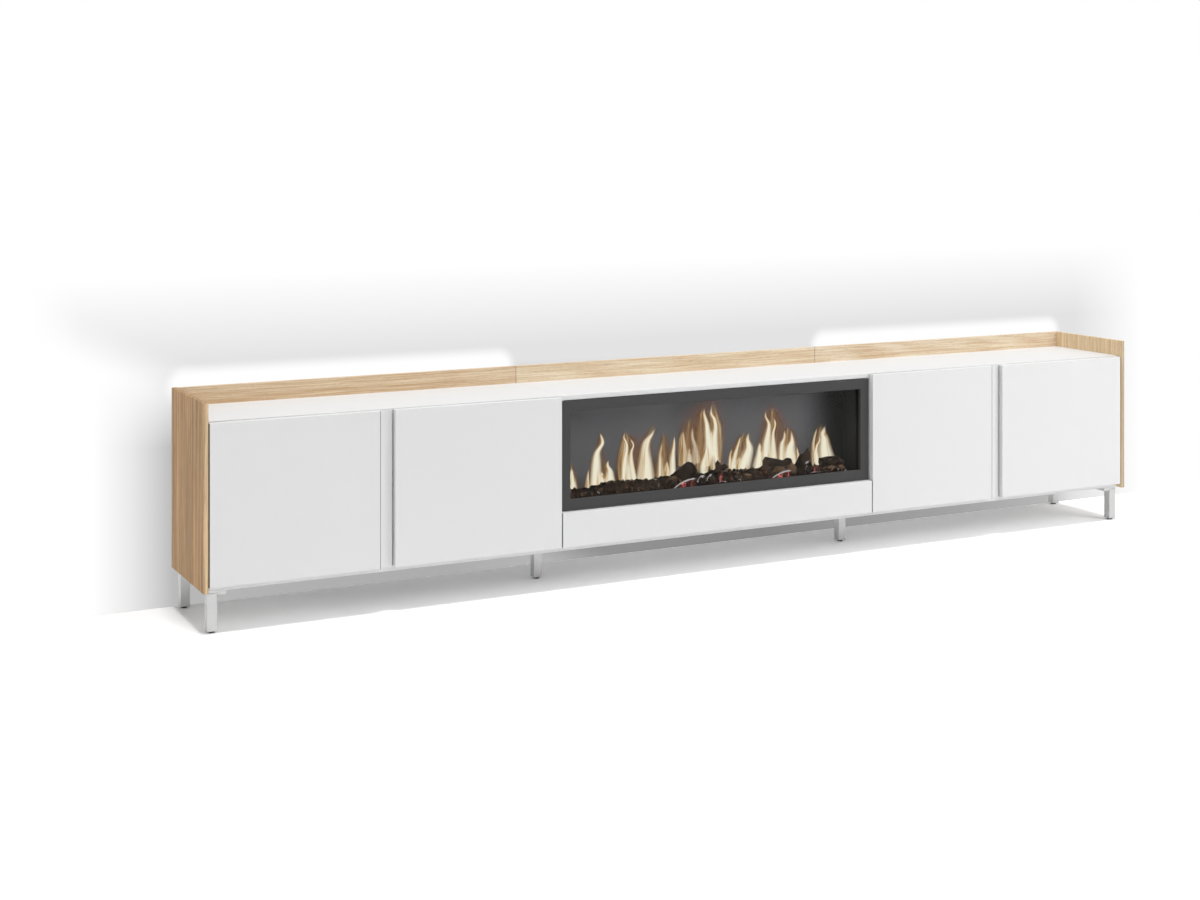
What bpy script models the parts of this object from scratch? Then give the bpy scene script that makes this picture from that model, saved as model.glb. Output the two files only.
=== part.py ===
"""Low television unit of three modules with a built-in electric fireplace, on six legs.

Metres, +Z up. The length runs along X, the front faces -Y and the floor is Z = 0.
"""
import math

import bmesh
import bpy
from mathutils import Matrix, Vector

# Whole unit
LENGTH = 3.600
DEPTH = 0.384
SIDE_HEIGHT = 0.567
END_MODULE = 1.185
UPSTAND_HEIGHT = 0.058
BOARD = 0.016
BACK_SHEET = 0.003
BACK_INSET = 0.004
SEAM = 0.0003
EDGE_ROUND = 0.0008

# Legs and glides
LEG_HEIGHT = 0.121
LEG_TUBE = 0.030
LEG_PLATE = 0.057
LEG_PLATE_THICKNESS = 0.013
LEG_SIDE_INSET = 0.004
LEG_END_INSET = 0.004
GLIDE_FOOT = 0.006
GLIDE_RADIUS = 0.010
GLIDE_STEM_RADIUS = 0.004
GLIDE_STEM = 0.030
GLIDE_CHAMFER = 0.001

# Doors and their finger pulls
DOOR = 0.022
DOOR_REST_GAP = 0.002
DOOR_BOTTOM_REVEAL = 0.015
DOOR_TOP_REVEAL = 0.003
SIDE_REVEAL = 0.004
MODULE_REVEAL = 0.002
DOOR_GAP = 0.0027
PLAIN_DOOR_WIDTH = 0.5773
PULL_WIDTH = 0.0465
PULL_LIP = 0.014
PULL_LIP_THICKNESS = 0.0028
PULL_WALL = 0.0026
PULL_EDGE = 0.003

# Shelves in the end modules
SHELF_RISE = 0.222
SHELF_SETBACK = 0.020

# Door hinges
HINGE_END_OFFSET = 0.095
HINGE_PLATE_HEIGHT = 0.050
HINGE_PLATE_LENGTH = 0.034
HINGE_PLATE_THICKNESS = 0.004
HINGE_ARM_HEIGHT = 0.015
HINGE_ARM_LENGTH = 0.064
HINGE_ARM_DEPTH = 0.012
HINGE_NECK_REACH = 0.028
HINGE_NECK_LENGTH = 0.009
HINGE_RUNNING_GAP = 0.0006

# Fireplace trim, glass and casing
FRAME_HEIGHT = 0.362
FRAME_TOP_GAP = 0.001
FRAME_REVEAL = 0.002
FRAME_BAR = 0.036
FRAME_SHEET = 0.0037
FRAME_LIP = 0.002
FRAME_LIP_DEPTH = 0.010
GLASS = 0.004
GLASS_LAP = 0.006
CASING_MARGIN = 0.010
CASING_DEPTH = 0.170
CASING_SHEET = 0.0015
FIRE_SHELF_RISE = 0.012

# Inside the fireplace
SCREEN = 0.003
SCREEN_FROM_BACK = 0.052
EMBER_RISE = 0.021
EMBER_BUMP = 0.005
EMBER_FRONT_GAP = 0.003
EMBER_CELL = 0.020
LOG_RADIUS = 0.028
LOG_LENGTH = 0.100
LOG_SINK = 0.013
ROD_HUB = 0.0035
ROD_BLADE = 0.014
ROD_BLADE_THICKNESS = 0.001
ROD_FROM_BACK = 0.026
ROD_RISE = 0.040
MOTOR_RADIUS = 0.019
MOTOR_LENGTH = 0.034
MOTOR_BOSS_RADIUS = 0.006
MOTOR_BOSS = 0.005
LIGHT_BAR_HEIGHT = 0.008
LIGHT_BAR_WIDTH = 0.014
LIGHT_BAR_END = 0.030

# Flap under the fireplace
FLAP_GAP = 0.002
FLAP_REVEAL = 0.002
FLAP_PIVOT_DROP = 0.001
FLAP_HINGE_END_OFFSET = 0.180
FLAP_HINGE_WIDTH = 0.044
FLAP_HINGE_LENGTH = 0.040
FLAP_HINGE_THICKNESS = 0.005
FLAP_NECK_WIDTH = 0.015
FLAP_NECK_HEIGHT = 0.016

# Light strips behind the end upstands
STRIP_HEIGHT = 0.010
STRIP_DEPTH = 0.006
STRIP_END_MARGIN = 0.020
STRIP_TOP_MARGIN = 0.012

# Cable and air opening in the middle back sheet
CABLE_WIDTH = 0.240
CABLE_HEIGHT = 0.070
CABLE_RISE = 0.030

# Places of the logs along the ember bed, as shares of half its length, with their turn and tilt
LOG_PLACE_SHARES = (-0.18, -0.02, 0.44, 0.52, 0.64, 0.84)
LOG_LENGTH_SHARES = (0.75, 0.60, 0.72, 0.60, 0.50, 0.72)
LOG_RADIUS_SHARES = (1.05, 0.75, 0.95, 0.70, 0.80, 0.66)
LOG_TURNS = (14.0, -38.0, -12.0, 40.0, 24.0, -10.0)
LOG_TILTS = (32.0, 14.0, -12.0, 8.0, 52.0, 6.0)
LOG_TAPER_SHARE = 0.82
LOG_SIDES = 9
EMBER_ROWS = 6
ROUND_STEPS = 24
ROD_BLADES = 3
PULL_ARC_STEPS = 8
CUT_PAST = 0.005

# Linear colour, roughness and metallic value of each finish
FINISHES = {
    "oak": ((0.62, 0.42, 0.25), 0.55, 0.0),
    "white_board": ((0.83, 0.83, 0.82), 0.42, 0.0),
    "white_lacquer": ((0.80, 0.80, 0.80), 0.35, 0.0),
    "back_sheet": ((0.78, 0.78, 0.76), 0.6, 0.0),
    "grey_steel": ((0.60, 0.61, 0.62), 0.32, 1.0),
    "hinge_nickel": ((0.62, 0.60, 0.57), 0.28, 1.0),
    "black_plastic": ((0.02, 0.02, 0.02), 0.5, 0.0),
    "dark_trim": ((0.075, 0.075, 0.078), 0.45, 0.3),
    "dark_casing": ((0.03, 0.03, 0.032), 0.6, 0.2),
    "glass": ((0.90, 0.92, 0.92), 0.03, 0.0),
    "flame_screen": ((0.05, 0.05, 0.052), 0.35, 0.0),
    "ember": ((0.035, 0.022, 0.016), 0.85, 0.0),
    "bright_foil": ((0.80, 0.80, 0.80), 0.12, 1.0),
    "motor_steel": ((0.35, 0.35, 0.36), 0.4, 1.0),
    "light_strip": ((0.95, 0.93, 0.88), 0.4, 0.0),
}

# Levels and planes that the pieces share
BASE = LEG_HEIGHT + GLIDE_FOOT
TOP = BASE + SIDE_HEIGHT - UPSTAND_HEIGHT
FRONT = -DEPTH / 2
BACK = DEPTH / 2
DOOR_BACK = FRONT + DOOR
CARCASS_FRONT = DOOR_BACK + DOOR_REST_GAP
UPSTAND_FACE = BACK - BOARD
SIDE_INNER = LENGTH / 2 - BOARD
BOUNDARY = LENGTH / 2 - END_MODULE
GABLE_INNER = BOUNDARY + SEAM / 2 + BOARD
CENTRE_INNER = BOUNDARY - SEAM / 2 - BOARD
FLOOR_TOP = BASE + BOARD
CEILING = TOP - BOARD
BACK_FACE = BACK - BACK_INSET - BACK_SHEET
FRAME_TOP = CEILING - FRAME_TOP_GAP
FRAME_BOTTOM = FRAME_TOP - FRAME_HEIGHT
FRAME_BACK = CARCASS_FRONT - SEAM
FRAME_FRONT = FRAME_BACK - FRAME_SHEET
FRAME_HALF = BOUNDARY - FRAME_REVEAL
WINDOW_HALF = FRAME_HALF - FRAME_BAR
WINDOW_BOTTOM = FRAME_BOTTOM + FRAME_BAR
WINDOW_TOP = FRAME_TOP - FRAME_BAR
FIRE_SHELF_TOP = FRAME_BOTTOM + FIRE_SHELF_RISE
CASING_HALF = WINDOW_HALF + CASING_MARGIN
CASING_FRONT = CARCASS_FRONT + SEAM
CASING_BACK = CASING_FRONT + CASING_DEPTH
CASING_BOTTOM = FIRE_SHELF_TOP + SEAM
CASING_TOP = WINDOW_TOP + CASING_MARGIN
GLASS_FRONT = FRAME_BACK + FRAME_LIP_DEPTH + SEAM
SCREEN_BACK = CASING_BACK - SCREEN_FROM_BACK
ROD_Y = CASING_BACK - ROD_FROM_BACK
ROD_Z = CASING_BOTTOM + CASING_SHEET + ROD_RISE
DOOR_BOTTOM = BASE + DOOR_BOTTOM_REVEAL
DOOR_TOP = TOP - DOOR_TOP_REVEAL
FLAP_HALF = BOUNDARY - FLAP_REVEAL
FLAP_TOP = FRAME_BOTTOM - FLAP_GAP


def clear_scene():
    """Empty the scene that the script starts in."""
    for old in list(bpy.data.objects):
        bpy.data.objects.remove(old, do_unlink=True)


def new_collection(name):
    """Make a collection in the scene."""
    collection = bpy.data.collections.new(name)
    bpy.context.scene.collection.children.link(collection)
    return collection


clear_scene()
PARTS = new_collection("tv_stand")
CUTTERS = new_collection("cutters")


def paint(piece, look):
    """Give a piece its own Principled material."""
    colour, roughness, metallic = FINISHES[look]
    material = bpy.data.materials.new(piece.name + "_" + look)
    material.use_nodes = True
    shader = material.node_tree.nodes["Principled BSDF"]
    shader.inputs["Base Color"].default_value = (*colour, 1)
    shader.inputs["Roughness"].default_value = roughness
    shader.inputs["Metallic"].default_value = metallic
    material.diffuse_color = (*colour, 1)
    piece.data.materials.clear()
    piece.data.materials.append(material)


def keep(piece, name, look):
    """Name a piece and file it with the parts, or with the cutters when it has no look."""
    piece.name = name
    piece.data.name = name
    for owner in list(piece.users_collection):
        owner.objects.unlink(piece)
    if look:
        PARTS.objects.link(piece)
        paint(piece, look)
    else:
        CUTTERS.objects.link(piece)
        piece.hide_render = True
        piece.display_type = "WIRE"
    return piece


def soften(piece, width, segments=1):
    """Round a piece's edges."""
    bevel = piece.modifiers.new("rounding", "BEVEL")
    bevel.width = width
    bevel.segments = segments
    bevel.limit_method = "ANGLE"
    bevel.use_clamp_overlap = True


def combine(piece, tool, operation, solver="EXACT"):
    """Join a tool to a piece, or cut it away."""
    step = piece.modifiers.new(operation.lower(), "BOOLEAN")
    step.operation = operation
    step.solver = solver
    step.object = tool


def add_box(name, low, high, look=None, rounding=0):
    """Make a box between two corners, with its origin at its middle."""
    low = Vector(low)
    high = Vector(high)
    bpy.ops.mesh.primitive_cube_add(size=1)
    piece = bpy.context.object
    piece.data.transform(Matrix.Diagonal((*(high - low), 1)))
    piece.location = (low + high) / 2
    keep(piece, name, look)
    if rounding:
        soften(piece, rounding)
    return piece


def add_round(name, middle, radius, length, axis, look=None, steps=ROUND_STEPS):
    """Make a cylinder about a middle, along X, Y or Z."""
    turns = {"X": (0, math.pi / 2, 0), "Y": (math.pi / 2, 0, 0), "Z": (0, 0, 0)}
    bpy.ops.mesh.primitive_cylinder_add(vertices=steps, radius=radius, depth=length)
    piece = bpy.context.object
    piece.location = middle
    piece.rotation_euler = turns[axis]
    return keep(piece, name, look)


def add_turned(name, profile, look):
    """Turn a profile of (radius, height) points, listed from the top down, about Z."""
    mesh = bpy.data.meshes.new(name)
    points = [(radius, 0, height) for radius, height in profile]
    edges = [(step, step + 1) for step in range(len(points) - 1)]
    mesh.from_pydata(points, edges, [])
    piece = bpy.data.objects.new(name, mesh)
    PARTS.objects.link(piece)
    screw = piece.modifiers.new("turning", "SCREW")
    screw.steps = ROUND_STEPS
    screw.render_steps = ROUND_STEPS
    screw.use_merge_vertices = True
    screw.merge_threshold = SEAM / 10
    screw.use_smooth_shade = True
    return keep(piece, name, look)


def add_section(name, outline, length, look):
    """Push a flat outline of (x, y) points along its own Z."""
    curve = bpy.data.curves.new(name, "CURVE")
    curve.dimensions = "2D"
    curve.fill_mode = "BOTH"
    curve.extrude = length / 2
    spline = curve.splines.new("POLY")
    spline.points.add(len(outline) - 1)
    for point, (x, y) in zip(spline.points, outline):
        point.co = (x, y, 0, 1)
    spline.use_cyclic_u = True
    piece = bpy.data.objects.new(name, curve)
    PARTS.objects.link(piece)
    return keep(piece, name, look)


def add_axis(name, place):
    """Place an empty on a joint's axis."""
    axis = bpy.data.objects.new(name, None)
    axis.location = place
    PARTS.objects.link(axis)
    return axis


def hang(piece, axis):
    """Parent a piece to a joint's empty and keep it where it is."""
    piece.parent = axis
    piece.location = piece.location - axis.location


def side_panels():
    """Stand the two oak end panels, which reach the front of the doors."""
    for label, sign in (("left", -1), ("right", 1)):
        faces = sorted((sign * LENGTH / 2, sign * SIDE_INNER))
        low = (faces[0], FRONT, BASE)
        high = (faces[1], BACK, BASE + SIDE_HEIGHT)
        add_box("side_panel_" + label, low, high, "oak", EDGE_ROUND)


def module_spans(end_face, centre_face):
    """Give each module's two X faces from where the end and middle modules stop."""
    return (
        ("left", -SIDE_INNER + SEAM, -end_face),
        ("centre", -centre_face, centre_face),
        ("right", end_face, SIDE_INNER - SEAM),
    )


def top_boards():
    """Lay a top board over each module, between the end panels and up to the upstands."""
    for label, low_x, high_x in module_spans(BOUNDARY + SEAM / 2, BOUNDARY - SEAM / 2):
        low = (low_x, CARCASS_FRONT, CEILING)
        high = (high_x, UPSTAND_FACE - SEAM, TOP)
        add_box("top_board_" + label, low, high, "white_board", EDGE_ROUND)


def light_groove(upstand, low_x, high_x):
    """Mill the groove that holds a light strip in an upstand's rear face."""
    strip_top = BASE + SIDE_HEIGHT - STRIP_TOP_MARGIN
    low = (low_x - SEAM, BACK - STRIP_DEPTH - SEAM, strip_top - STRIP_HEIGHT - SEAM)
    high = (high_x + SEAM, BACK + CUT_PAST, strip_top + SEAM)
    combine(upstand, add_box(upstand.name + "_groove", low, high), "DIFFERENCE")
    low = (low_x, BACK - STRIP_DEPTH, strip_top - STRIP_HEIGHT)
    label = upstand.name.split("_")[1]
    add_box("light_strip_" + label, low, (high_x, BACK, strip_top), "light_strip")


def upstands():
    """Stand an oak rail on the walls behind each top board, with lights behind the end ones."""
    for label, low_x, high_x in module_spans(BOUNDARY + SEAM / 2, BOUNDARY - SEAM / 2):
        low = (low_x, UPSTAND_FACE, CEILING)
        high = (high_x, BACK, BASE + SIDE_HEIGHT)
        upstand = add_box("upstand_" + label, low, high, "oak", EDGE_ROUND)
        if label != "centre":
            light_groove(upstand, low_x + STRIP_END_MARGIN, high_x - STRIP_END_MARGIN)


def gables():
    """Stand the white inner walls, doubled where two modules meet."""
    end_outer = BOUNDARY + SEAM / 2
    centre_outer = BOUNDARY - SEAM / 2
    spans = (
        ("gable_left", -GABLE_INNER, -end_outer),
        ("gable_centre_left", -centre_outer, -CENTRE_INNER),
        ("gable_centre_right", CENTRE_INNER, centre_outer),
        ("gable_right", end_outer, GABLE_INNER),
    )
    for name, low_x, high_x in spans:
        low = (low_x, CARCASS_FRONT, BASE)
        add_box(name, low, (high_x, BACK, CEILING - SEAM), "white_board", EDGE_ROUND)


def bottom_boards():
    """Lay the bottom boards between the walls."""
    for label, low_x, high_x in module_spans(GABLE_INNER + SEAM, CENTRE_INNER - SEAM):
        low = (low_x, CARCASS_FRONT, BASE)
        add_box("bottom_board_" + label, low, (high_x, BACK, FLOOR_TOP), "white_board", EDGE_ROUND)


def back_sheets():
    """Set the thin back sheets between the boards, the middle one with a cable opening."""
    for label, low_x, high_x in module_spans(GABLE_INNER + SEAM, CENTRE_INNER - SEAM):
        low = (low_x, BACK_FACE, FLOOR_TOP + SEAM)
        high = (high_x, BACK_FACE + BACK_SHEET, CEILING - SEAM)
        sheet = add_box("back_panel_" + label, low, high, "back_sheet")
        if label == "centre":
            low = (-CABLE_WIDTH / 2, BACK_FACE - CUT_PAST, FLOOR_TOP + CABLE_RISE)
            high = (CABLE_WIDTH / 2, BACK + CUT_PAST, FLOOR_TOP + CABLE_RISE + CABLE_HEIGHT)
            combine(sheet, add_box("cable_opening", low, high), "DIFFERENCE")


def shelves():
    """Fix one shelf across each end module."""
    for label, low_x, high_x in module_spans(GABLE_INNER + SEAM, CENTRE_INNER - SEAM):
        if label != "centre":
            low = (low_x, CARCASS_FRONT + SHELF_SETBACK, FLOOR_TOP + SHELF_RISE)
            high = (high_x, BACK_FACE - SEAM, FLOOR_TOP + SHELF_RISE + BOARD)
            add_box("shelf_" + label, low, high, "white_board", EDGE_ROUND)


def pull_outline():
    """Give the finger pull's section: a lip, a rounded hollow behind it and a floor."""
    hollow_front = PULL_LIP_THICKNESS
    hollow_back = DOOR - PULL_WALL
    radius = (hollow_back - hollow_front) / 2
    middle_x = PULL_EDGE + radius
    outline = [(0, 0), (PULL_LIP, 0), (PULL_LIP, hollow_front)]
    for step in range(PULL_ARC_STEPS + 1):
        angle = math.pi / 2 + math.pi * step / PULL_ARC_STEPS
        x = middle_x + radius * math.cos(angle)
        y = hollow_front + radius - radius * math.sin(angle)
        outline.append((x, y))
    outline += [(PULL_WIDTH - SEAM, hollow_back), (PULL_WIDTH - SEAM, DOOR), (0, DOOR)]
    return outline


def finger_pull(label, left_x, axis):
    """Fix a full-height finger pull to the free edge of a door."""
    pull = add_section("finger_pull_" + label, pull_outline(), DOOR_TOP - DOOR_BOTTOM, "white_lacquer")
    pull.location = (left_x, FRONT, (DOOR_TOP + DOOR_BOTTOM) / 2)
    hang(pull, axis)


def door(number, low_x, high_x, hinge_x, pull_label=None):
    """Hang one door about its front outer edge, with a finger pull on it if it has one."""
    axis = add_axis("door_%d_axis" % number, (hinge_x, FRONT, DOOR_BOTTOM))
    panel_end = high_x
    if pull_label:
        panel_end = high_x - PULL_WIDTH
        finger_pull(pull_label, panel_end + SEAM, axis)
    low = (low_x, FRONT, DOOR_BOTTOM)
    panel = add_box("door_%d" % number, low, (panel_end, DOOR_BACK, DOOR_TOP), "white_lacquer", EDGE_ROUND)
    hang(panel, axis)


def doors():
    """Hang two pairs of doors. The left one of each pair carries the finger pull."""
    side = SIDE_INNER - SIDE_REVEAL
    inner = BOUNDARY + MODULE_REVEAL
    door(1, -side, -inner - PLAIN_DOOR_WIDTH - DOOR_GAP, -side, "left")
    door(2, -inner - PLAIN_DOOR_WIDTH, -inner, -inner)
    door(3, inner, side - PLAIN_DOOR_WIDTH - DOOR_GAP, inner, "right")
    door(4, side - PLAIN_DOOR_WIDTH, side, side)


def door_hinge(name, wall_x, sign, height):
    """Fix a concealed hinge's plate and arm to a wall. Sign points away from the wall."""
    face = wall_x + sign * SEAM
    plate_end = face + sign * HINGE_PLATE_THICKNESS
    arm_end = face + sign * HINGE_ARM_DEPTH
    neck_end = face + sign * HINGE_NECK_REACH
    arm_front = DOOR_BACK + HINGE_RUNNING_GAP
    arm_back = arm_front + HINGE_ARM_LENGTH
    plate_low = height - HINGE_PLATE_HEIGHT / 2
    plate_high = height + HINGE_PLATE_HEIGHT / 2
    arm_low = height - HINGE_ARM_HEIGHT / 2
    arm_high = height + HINGE_ARM_HEIGHT / 2
    plate_x = sorted((face, plate_end))
    arm_x = sorted((face, arm_end))
    neck_x = sorted((face, neck_end))
    plate_front = arm_back - HINGE_PLATE_LENGTH
    hinge = add_box(
        name, (plate_x[0], plate_front, plate_low), (plate_x[1], arm_back, plate_high), "hinge_nickel"
    )
    arm = add_box(
        name + "_arm", (arm_x[0], arm_front, arm_low), (arm_x[1], arm_back - HINGE_PLATE_THICKNESS, arm_high)
    )
    neck = add_box(
        name + "_neck", (neck_x[0], arm_front, arm_low), (neck_x[1], arm_front + HINGE_NECK_LENGTH, arm_high)
    )
    combine(arm, neck, "UNION")
    combine(hinge, arm, "UNION")


def door_hinges():
    """Give each door an upper and a lower hinge on the wall that carries it."""
    walls = (
        (1, -SIDE_INNER, 1),
        (2, -GABLE_INNER, -1),
        (3, GABLE_INNER, 1),
        (4, SIDE_INNER, -1),
    )
    for number, wall_x, sign in walls:
        door_hinge("hinge_%d_upper" % number, wall_x, sign, CEILING - HINGE_END_OFFSET)
        door_hinge("hinge_%d_lower" % number, wall_x, sign, FLOOR_TOP + HINGE_END_OFFSET)


def fire_shelf():
    """Lay the board that carries the fireplace between the middle walls."""
    low = (-CENTRE_INNER + SEAM, CARCASS_FRONT, FIRE_SHELF_TOP - BOARD)
    high = (CENTRE_INNER - SEAM, BACK_FACE - SEAM, FIRE_SHELF_TOP)
    add_box("fire_shelf", low, high, "white_board", EDGE_ROUND)


def fire_frame():
    """Fold the dark trim: a flat flange on the module's front and a lip into the window."""
    low = (-FRAME_HALF, FRAME_FRONT, FRAME_BOTTOM)
    frame = add_box("fire_frame", low, (FRAME_HALF, FRAME_BACK, FRAME_TOP), "dark_trim")
    low = (-WINDOW_HALF - FRAME_LIP, FRAME_FRONT + FRAME_LIP, WINDOW_BOTTOM - FRAME_LIP)
    high = (WINDOW_HALF + FRAME_LIP, FRAME_BACK + FRAME_LIP_DEPTH, WINDOW_TOP + FRAME_LIP)
    combine(frame, add_box("frame_lip", low, high), "UNION")
    low = (-WINDOW_HALF, FRAME_FRONT - CUT_PAST, WINDOW_BOTTOM)
    high = (WINDOW_HALF, FRAME_BACK + FRAME_LIP_DEPTH + CUT_PAST, WINDOW_TOP)
    combine(frame, add_box("frame_window", low, high), "DIFFERENCE")
    soften(frame, EDGE_ROUND)


def fire_glass():
    """Set the glass pane behind the trim's lip."""
    low = (-WINDOW_HALF - GLASS_LAP, GLASS_FRONT, WINDOW_BOTTOM - GLASS_LAP)
    high = (WINDOW_HALF + GLASS_LAP, GLASS_FRONT + GLASS, WINDOW_TOP + GLASS_LAP)
    add_box("fire_glass", low, high, "glass")


def fire_casing():
    """Fold the sheet-metal casing: a box that is open at the front."""
    bpy.ops.mesh.primitive_cube_add(size=1)
    casing = bpy.context.object
    size = (2 * CASING_HALF, CASING_DEPTH, CASING_TOP - CASING_BOTTOM)
    casing.data.transform(Matrix.Diagonal((*size, 1)))
    middle_y = (CASING_FRONT + CASING_BACK) / 2
    casing.location = (0, middle_y, (CASING_TOP + CASING_BOTTOM) / 2)
    shell = bmesh.new()
    shell.from_mesh(casing.data)
    front = [face for face in shell.faces if face.normal.y < -math.cos(math.pi / 4)]
    bmesh.ops.delete(shell, geom=front, context="FACES")
    shell.to_mesh(casing.data)
    shell.free()
    keep(casing, "fire_casing", "dark_casing")
    wall = casing.modifiers.new("sheet", "SOLIDIFY")
    wall.thickness = CASING_SHEET
    wall.offset = -1
    wall.use_even_offset = True


def flame_screen():
    """Stand the screen that shows the flames between the casing's side walls."""
    half = CASING_HALF - CASING_SHEET - SEAM
    low = (-half, SCREEN_BACK - SCREEN, CASING_BOTTOM + CASING_SHEET + SEAM)
    add_box("flame_screen", low, (half, SCREEN_BACK, CASING_TOP - CASING_SHEET - SEAM), "flame_screen")


def ember_height(x, y):
    """Give the bed's uneven top: two crossed waves of unlike length."""
    long_wave = math.sin(x / (2 * EMBER_CELL)) + math.sin(y / EMBER_CELL + x / (3 * EMBER_CELL))
    short_wave = math.sin(x / (EMBER_CELL / 2) + y / (EMBER_CELL / 3))
    return WINDOW_BOTTOM + EMBER_RISE + EMBER_BUMP * (long_wave + short_wave) / 2


def ember_bed():
    """Mould the ember-and-log bed in one piece, from the casing's floor up."""
    half = CASING_HALF - CASING_SHEET - SEAM
    front = GLASS_FRONT + GLASS + EMBER_FRONT_GAP
    back = SCREEN_BACK - SCREEN - SEAM
    floor = CASING_BOTTOM + CASING_SHEET + SEAM
    columns = round(2 * half / EMBER_CELL)
    bed = bmesh.new()
    bmesh.ops.create_grid(bed, x_segments=columns, y_segments=EMBER_ROWS, size=1)
    middle_y = (front + back) / 2
    stretch = Matrix.Diagonal((half, (back - front) / 2, 1, 1))
    bmesh.ops.transform(bed, matrix=Matrix.Translation((0, middle_y, floor)) @ stretch, verts=bed.verts)
    raised = bmesh.ops.extrude_face_region(bed, geom=bed.faces[:])
    for vertex in raised["geom"]:
        if isinstance(vertex, bmesh.types.BMVert):
            vertex.co.z = ember_height(vertex.co.x, vertex.co.y)
    bmesh.ops.recalc_face_normals(bed, faces=bed.faces)
    mesh = bpy.data.meshes.new("ember_bed")
    bed.to_mesh(mesh)
    bed.free()
    piece = bpy.data.objects.new("ember_bed", mesh)
    PARTS.objects.link(piece)
    keep(piece, "ember_bed", "ember")
    for number, share in enumerate(LOG_PLACE_SHARES):
        combine(piece, log(number, share * half, middle_y), "UNION", "MANIFOLD")


def log(number, x, y):
    """Lay one tapered log on the bed, sunk a little, tilted and turned about Z."""
    length = LOG_LENGTH * LOG_LENGTH_SHARES[number]
    radius = LOG_RADIUS * LOG_RADIUS_SHARES[number]
    bpy.ops.mesh.primitive_cone_add(
        vertices=LOG_SIDES, radius1=radius, radius2=radius * LOG_TAPER_SHARE, depth=length
    )
    piece = bpy.context.object
    piece.location = (x, y, ember_height(x, y) + radius - LOG_SINK)
    tilt = math.pi / 2 - math.radians(LOG_TILTS[number])
    piece.rotation_euler = (0, tilt, math.radians(LOG_TURNS[number]))
    return keep(piece, "log_%d" % number, None)


def flicker_motor():
    """Fix the small motor that turns the flicker rod to the casing's right wall."""
    boss_end = MOTOR_LENGTH + MOTOR_BOSS
    profile = [
        (0, boss_end),
        (MOTOR_BOSS_RADIUS, boss_end),
        (MOTOR_BOSS_RADIUS, MOTOR_LENGTH),
        (MOTOR_RADIUS, MOTOR_LENGTH),
        (MOTOR_RADIUS, 0),
        (0, 0),
    ]
    motor = add_turned("flicker_motor", profile, "motor_steel")
    motor.location = (CASING_HALF - CASING_SHEET - SEAM, ROD_Y, ROD_Z)
    motor.rotation_euler = (0, -math.pi / 2, 0)


def blade_outline():
    """Give the flicker rod's section: thin blades standing out from a round hub."""
    outline = []
    half_angle = math.asin(ROD_BLADE_THICKNESS / 2 / ROD_HUB)
    for blade in range(ROD_BLADES):
        turn = 2 * math.pi * blade / ROD_BLADES
        next_turn = 2 * math.pi * (blade + 1) / ROD_BLADES
        reach = math.sqrt(ROD_BLADE ** 2 - (ROD_BLADE_THICKNESS / 2) ** 2)
        root = ROD_HUB * math.cos(half_angle)
        for along, across in ((root, -1), (reach, -1), (reach, 1), (root, 1)):
            side = across * ROD_BLADE_THICKNESS / 2
            x = along * math.cos(turn) - side * math.sin(turn)
            y = along * math.sin(turn) + side * math.cos(turn)
            outline.append((x, y))
        for share in (1 / 3, 2 / 3):
            angle = turn + half_angle + share * (next_turn - turn - 2 * half_angle)
            outline.append((ROD_HUB * math.cos(angle), ROD_HUB * math.sin(angle)))
    return outline


def flicker_rod():
    """Hang the bladed rod between the casing's left wall and the motor."""
    left = -CASING_HALF + CASING_SHEET + SEAM
    right = CASING_HALF - CASING_SHEET - MOTOR_LENGTH - MOTOR_BOSS - 2 * SEAM
    axis = add_axis("flicker_rod_axis", ((left + right) / 2, ROD_Y, ROD_Z))
    rod = add_section("flicker_rod", blade_outline(), right - left, "bright_foil")
    rod.rotation_euler = (math.pi / 2, 0, math.pi / 2)
    rod.location = axis.location
    hang(rod, axis)


def fire_light_bar():
    """Lay the light bar on the casing's floor, under the flicker rod."""
    half = CASING_HALF - CASING_SHEET - LIGHT_BAR_END
    floor = CASING_BOTTOM + CASING_SHEET + SEAM
    low = (-half, ROD_Y - LIGHT_BAR_WIDTH / 2, floor)
    high = (half, ROD_Y + LIGHT_BAR_WIDTH / 2, floor + LIGHT_BAR_HEIGHT)
    add_box("fire_light_bar", low, high, "light_strip")


def flap():
    """Hang the drop-down flap under the fireplace about its rear lower edge."""
    axis = add_axis("flap_axis", (0, DOOR_BACK, DOOR_BOTTOM - FLAP_PIVOT_DROP))
    low = (-FLAP_HALF, FRONT, DOOR_BOTTOM)
    panel = add_box("flap", low, (FLAP_HALF, DOOR_BACK, FLAP_TOP), "white_lacquer", EDGE_ROUND)
    hang(panel, axis)


def flap_hinges():
    """Fix the flap's two hinges to the middle bottom board."""
    floor = FLOOR_TOP + SEAM
    front = DOOR_BACK + HINGE_RUNNING_GAP
    for label, sign in (("left", -1), ("right", 1)):
        x = sign * (CENTRE_INNER - FLAP_HINGE_END_OFFSET)
        low = (x - FLAP_HINGE_WIDTH / 2, CARCASS_FRONT, floor)
        high = (x + FLAP_HINGE_WIDTH / 2, CARCASS_FRONT + FLAP_HINGE_LENGTH, floor + FLAP_HINGE_THICKNESS)
        hinge = add_box("flap_hinge_" + label, low, high, "hinge_nickel")
        low = (x - FLAP_NECK_WIDTH / 2, front, floor)
        high = (x + FLAP_NECK_WIDTH / 2, CARCASS_FRONT + FLAP_HINGE_LENGTH / 2, floor + FLAP_NECK_HEIGHT)
        combine(hinge, add_box("flap_neck_" + label, low, high), "UNION")


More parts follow.
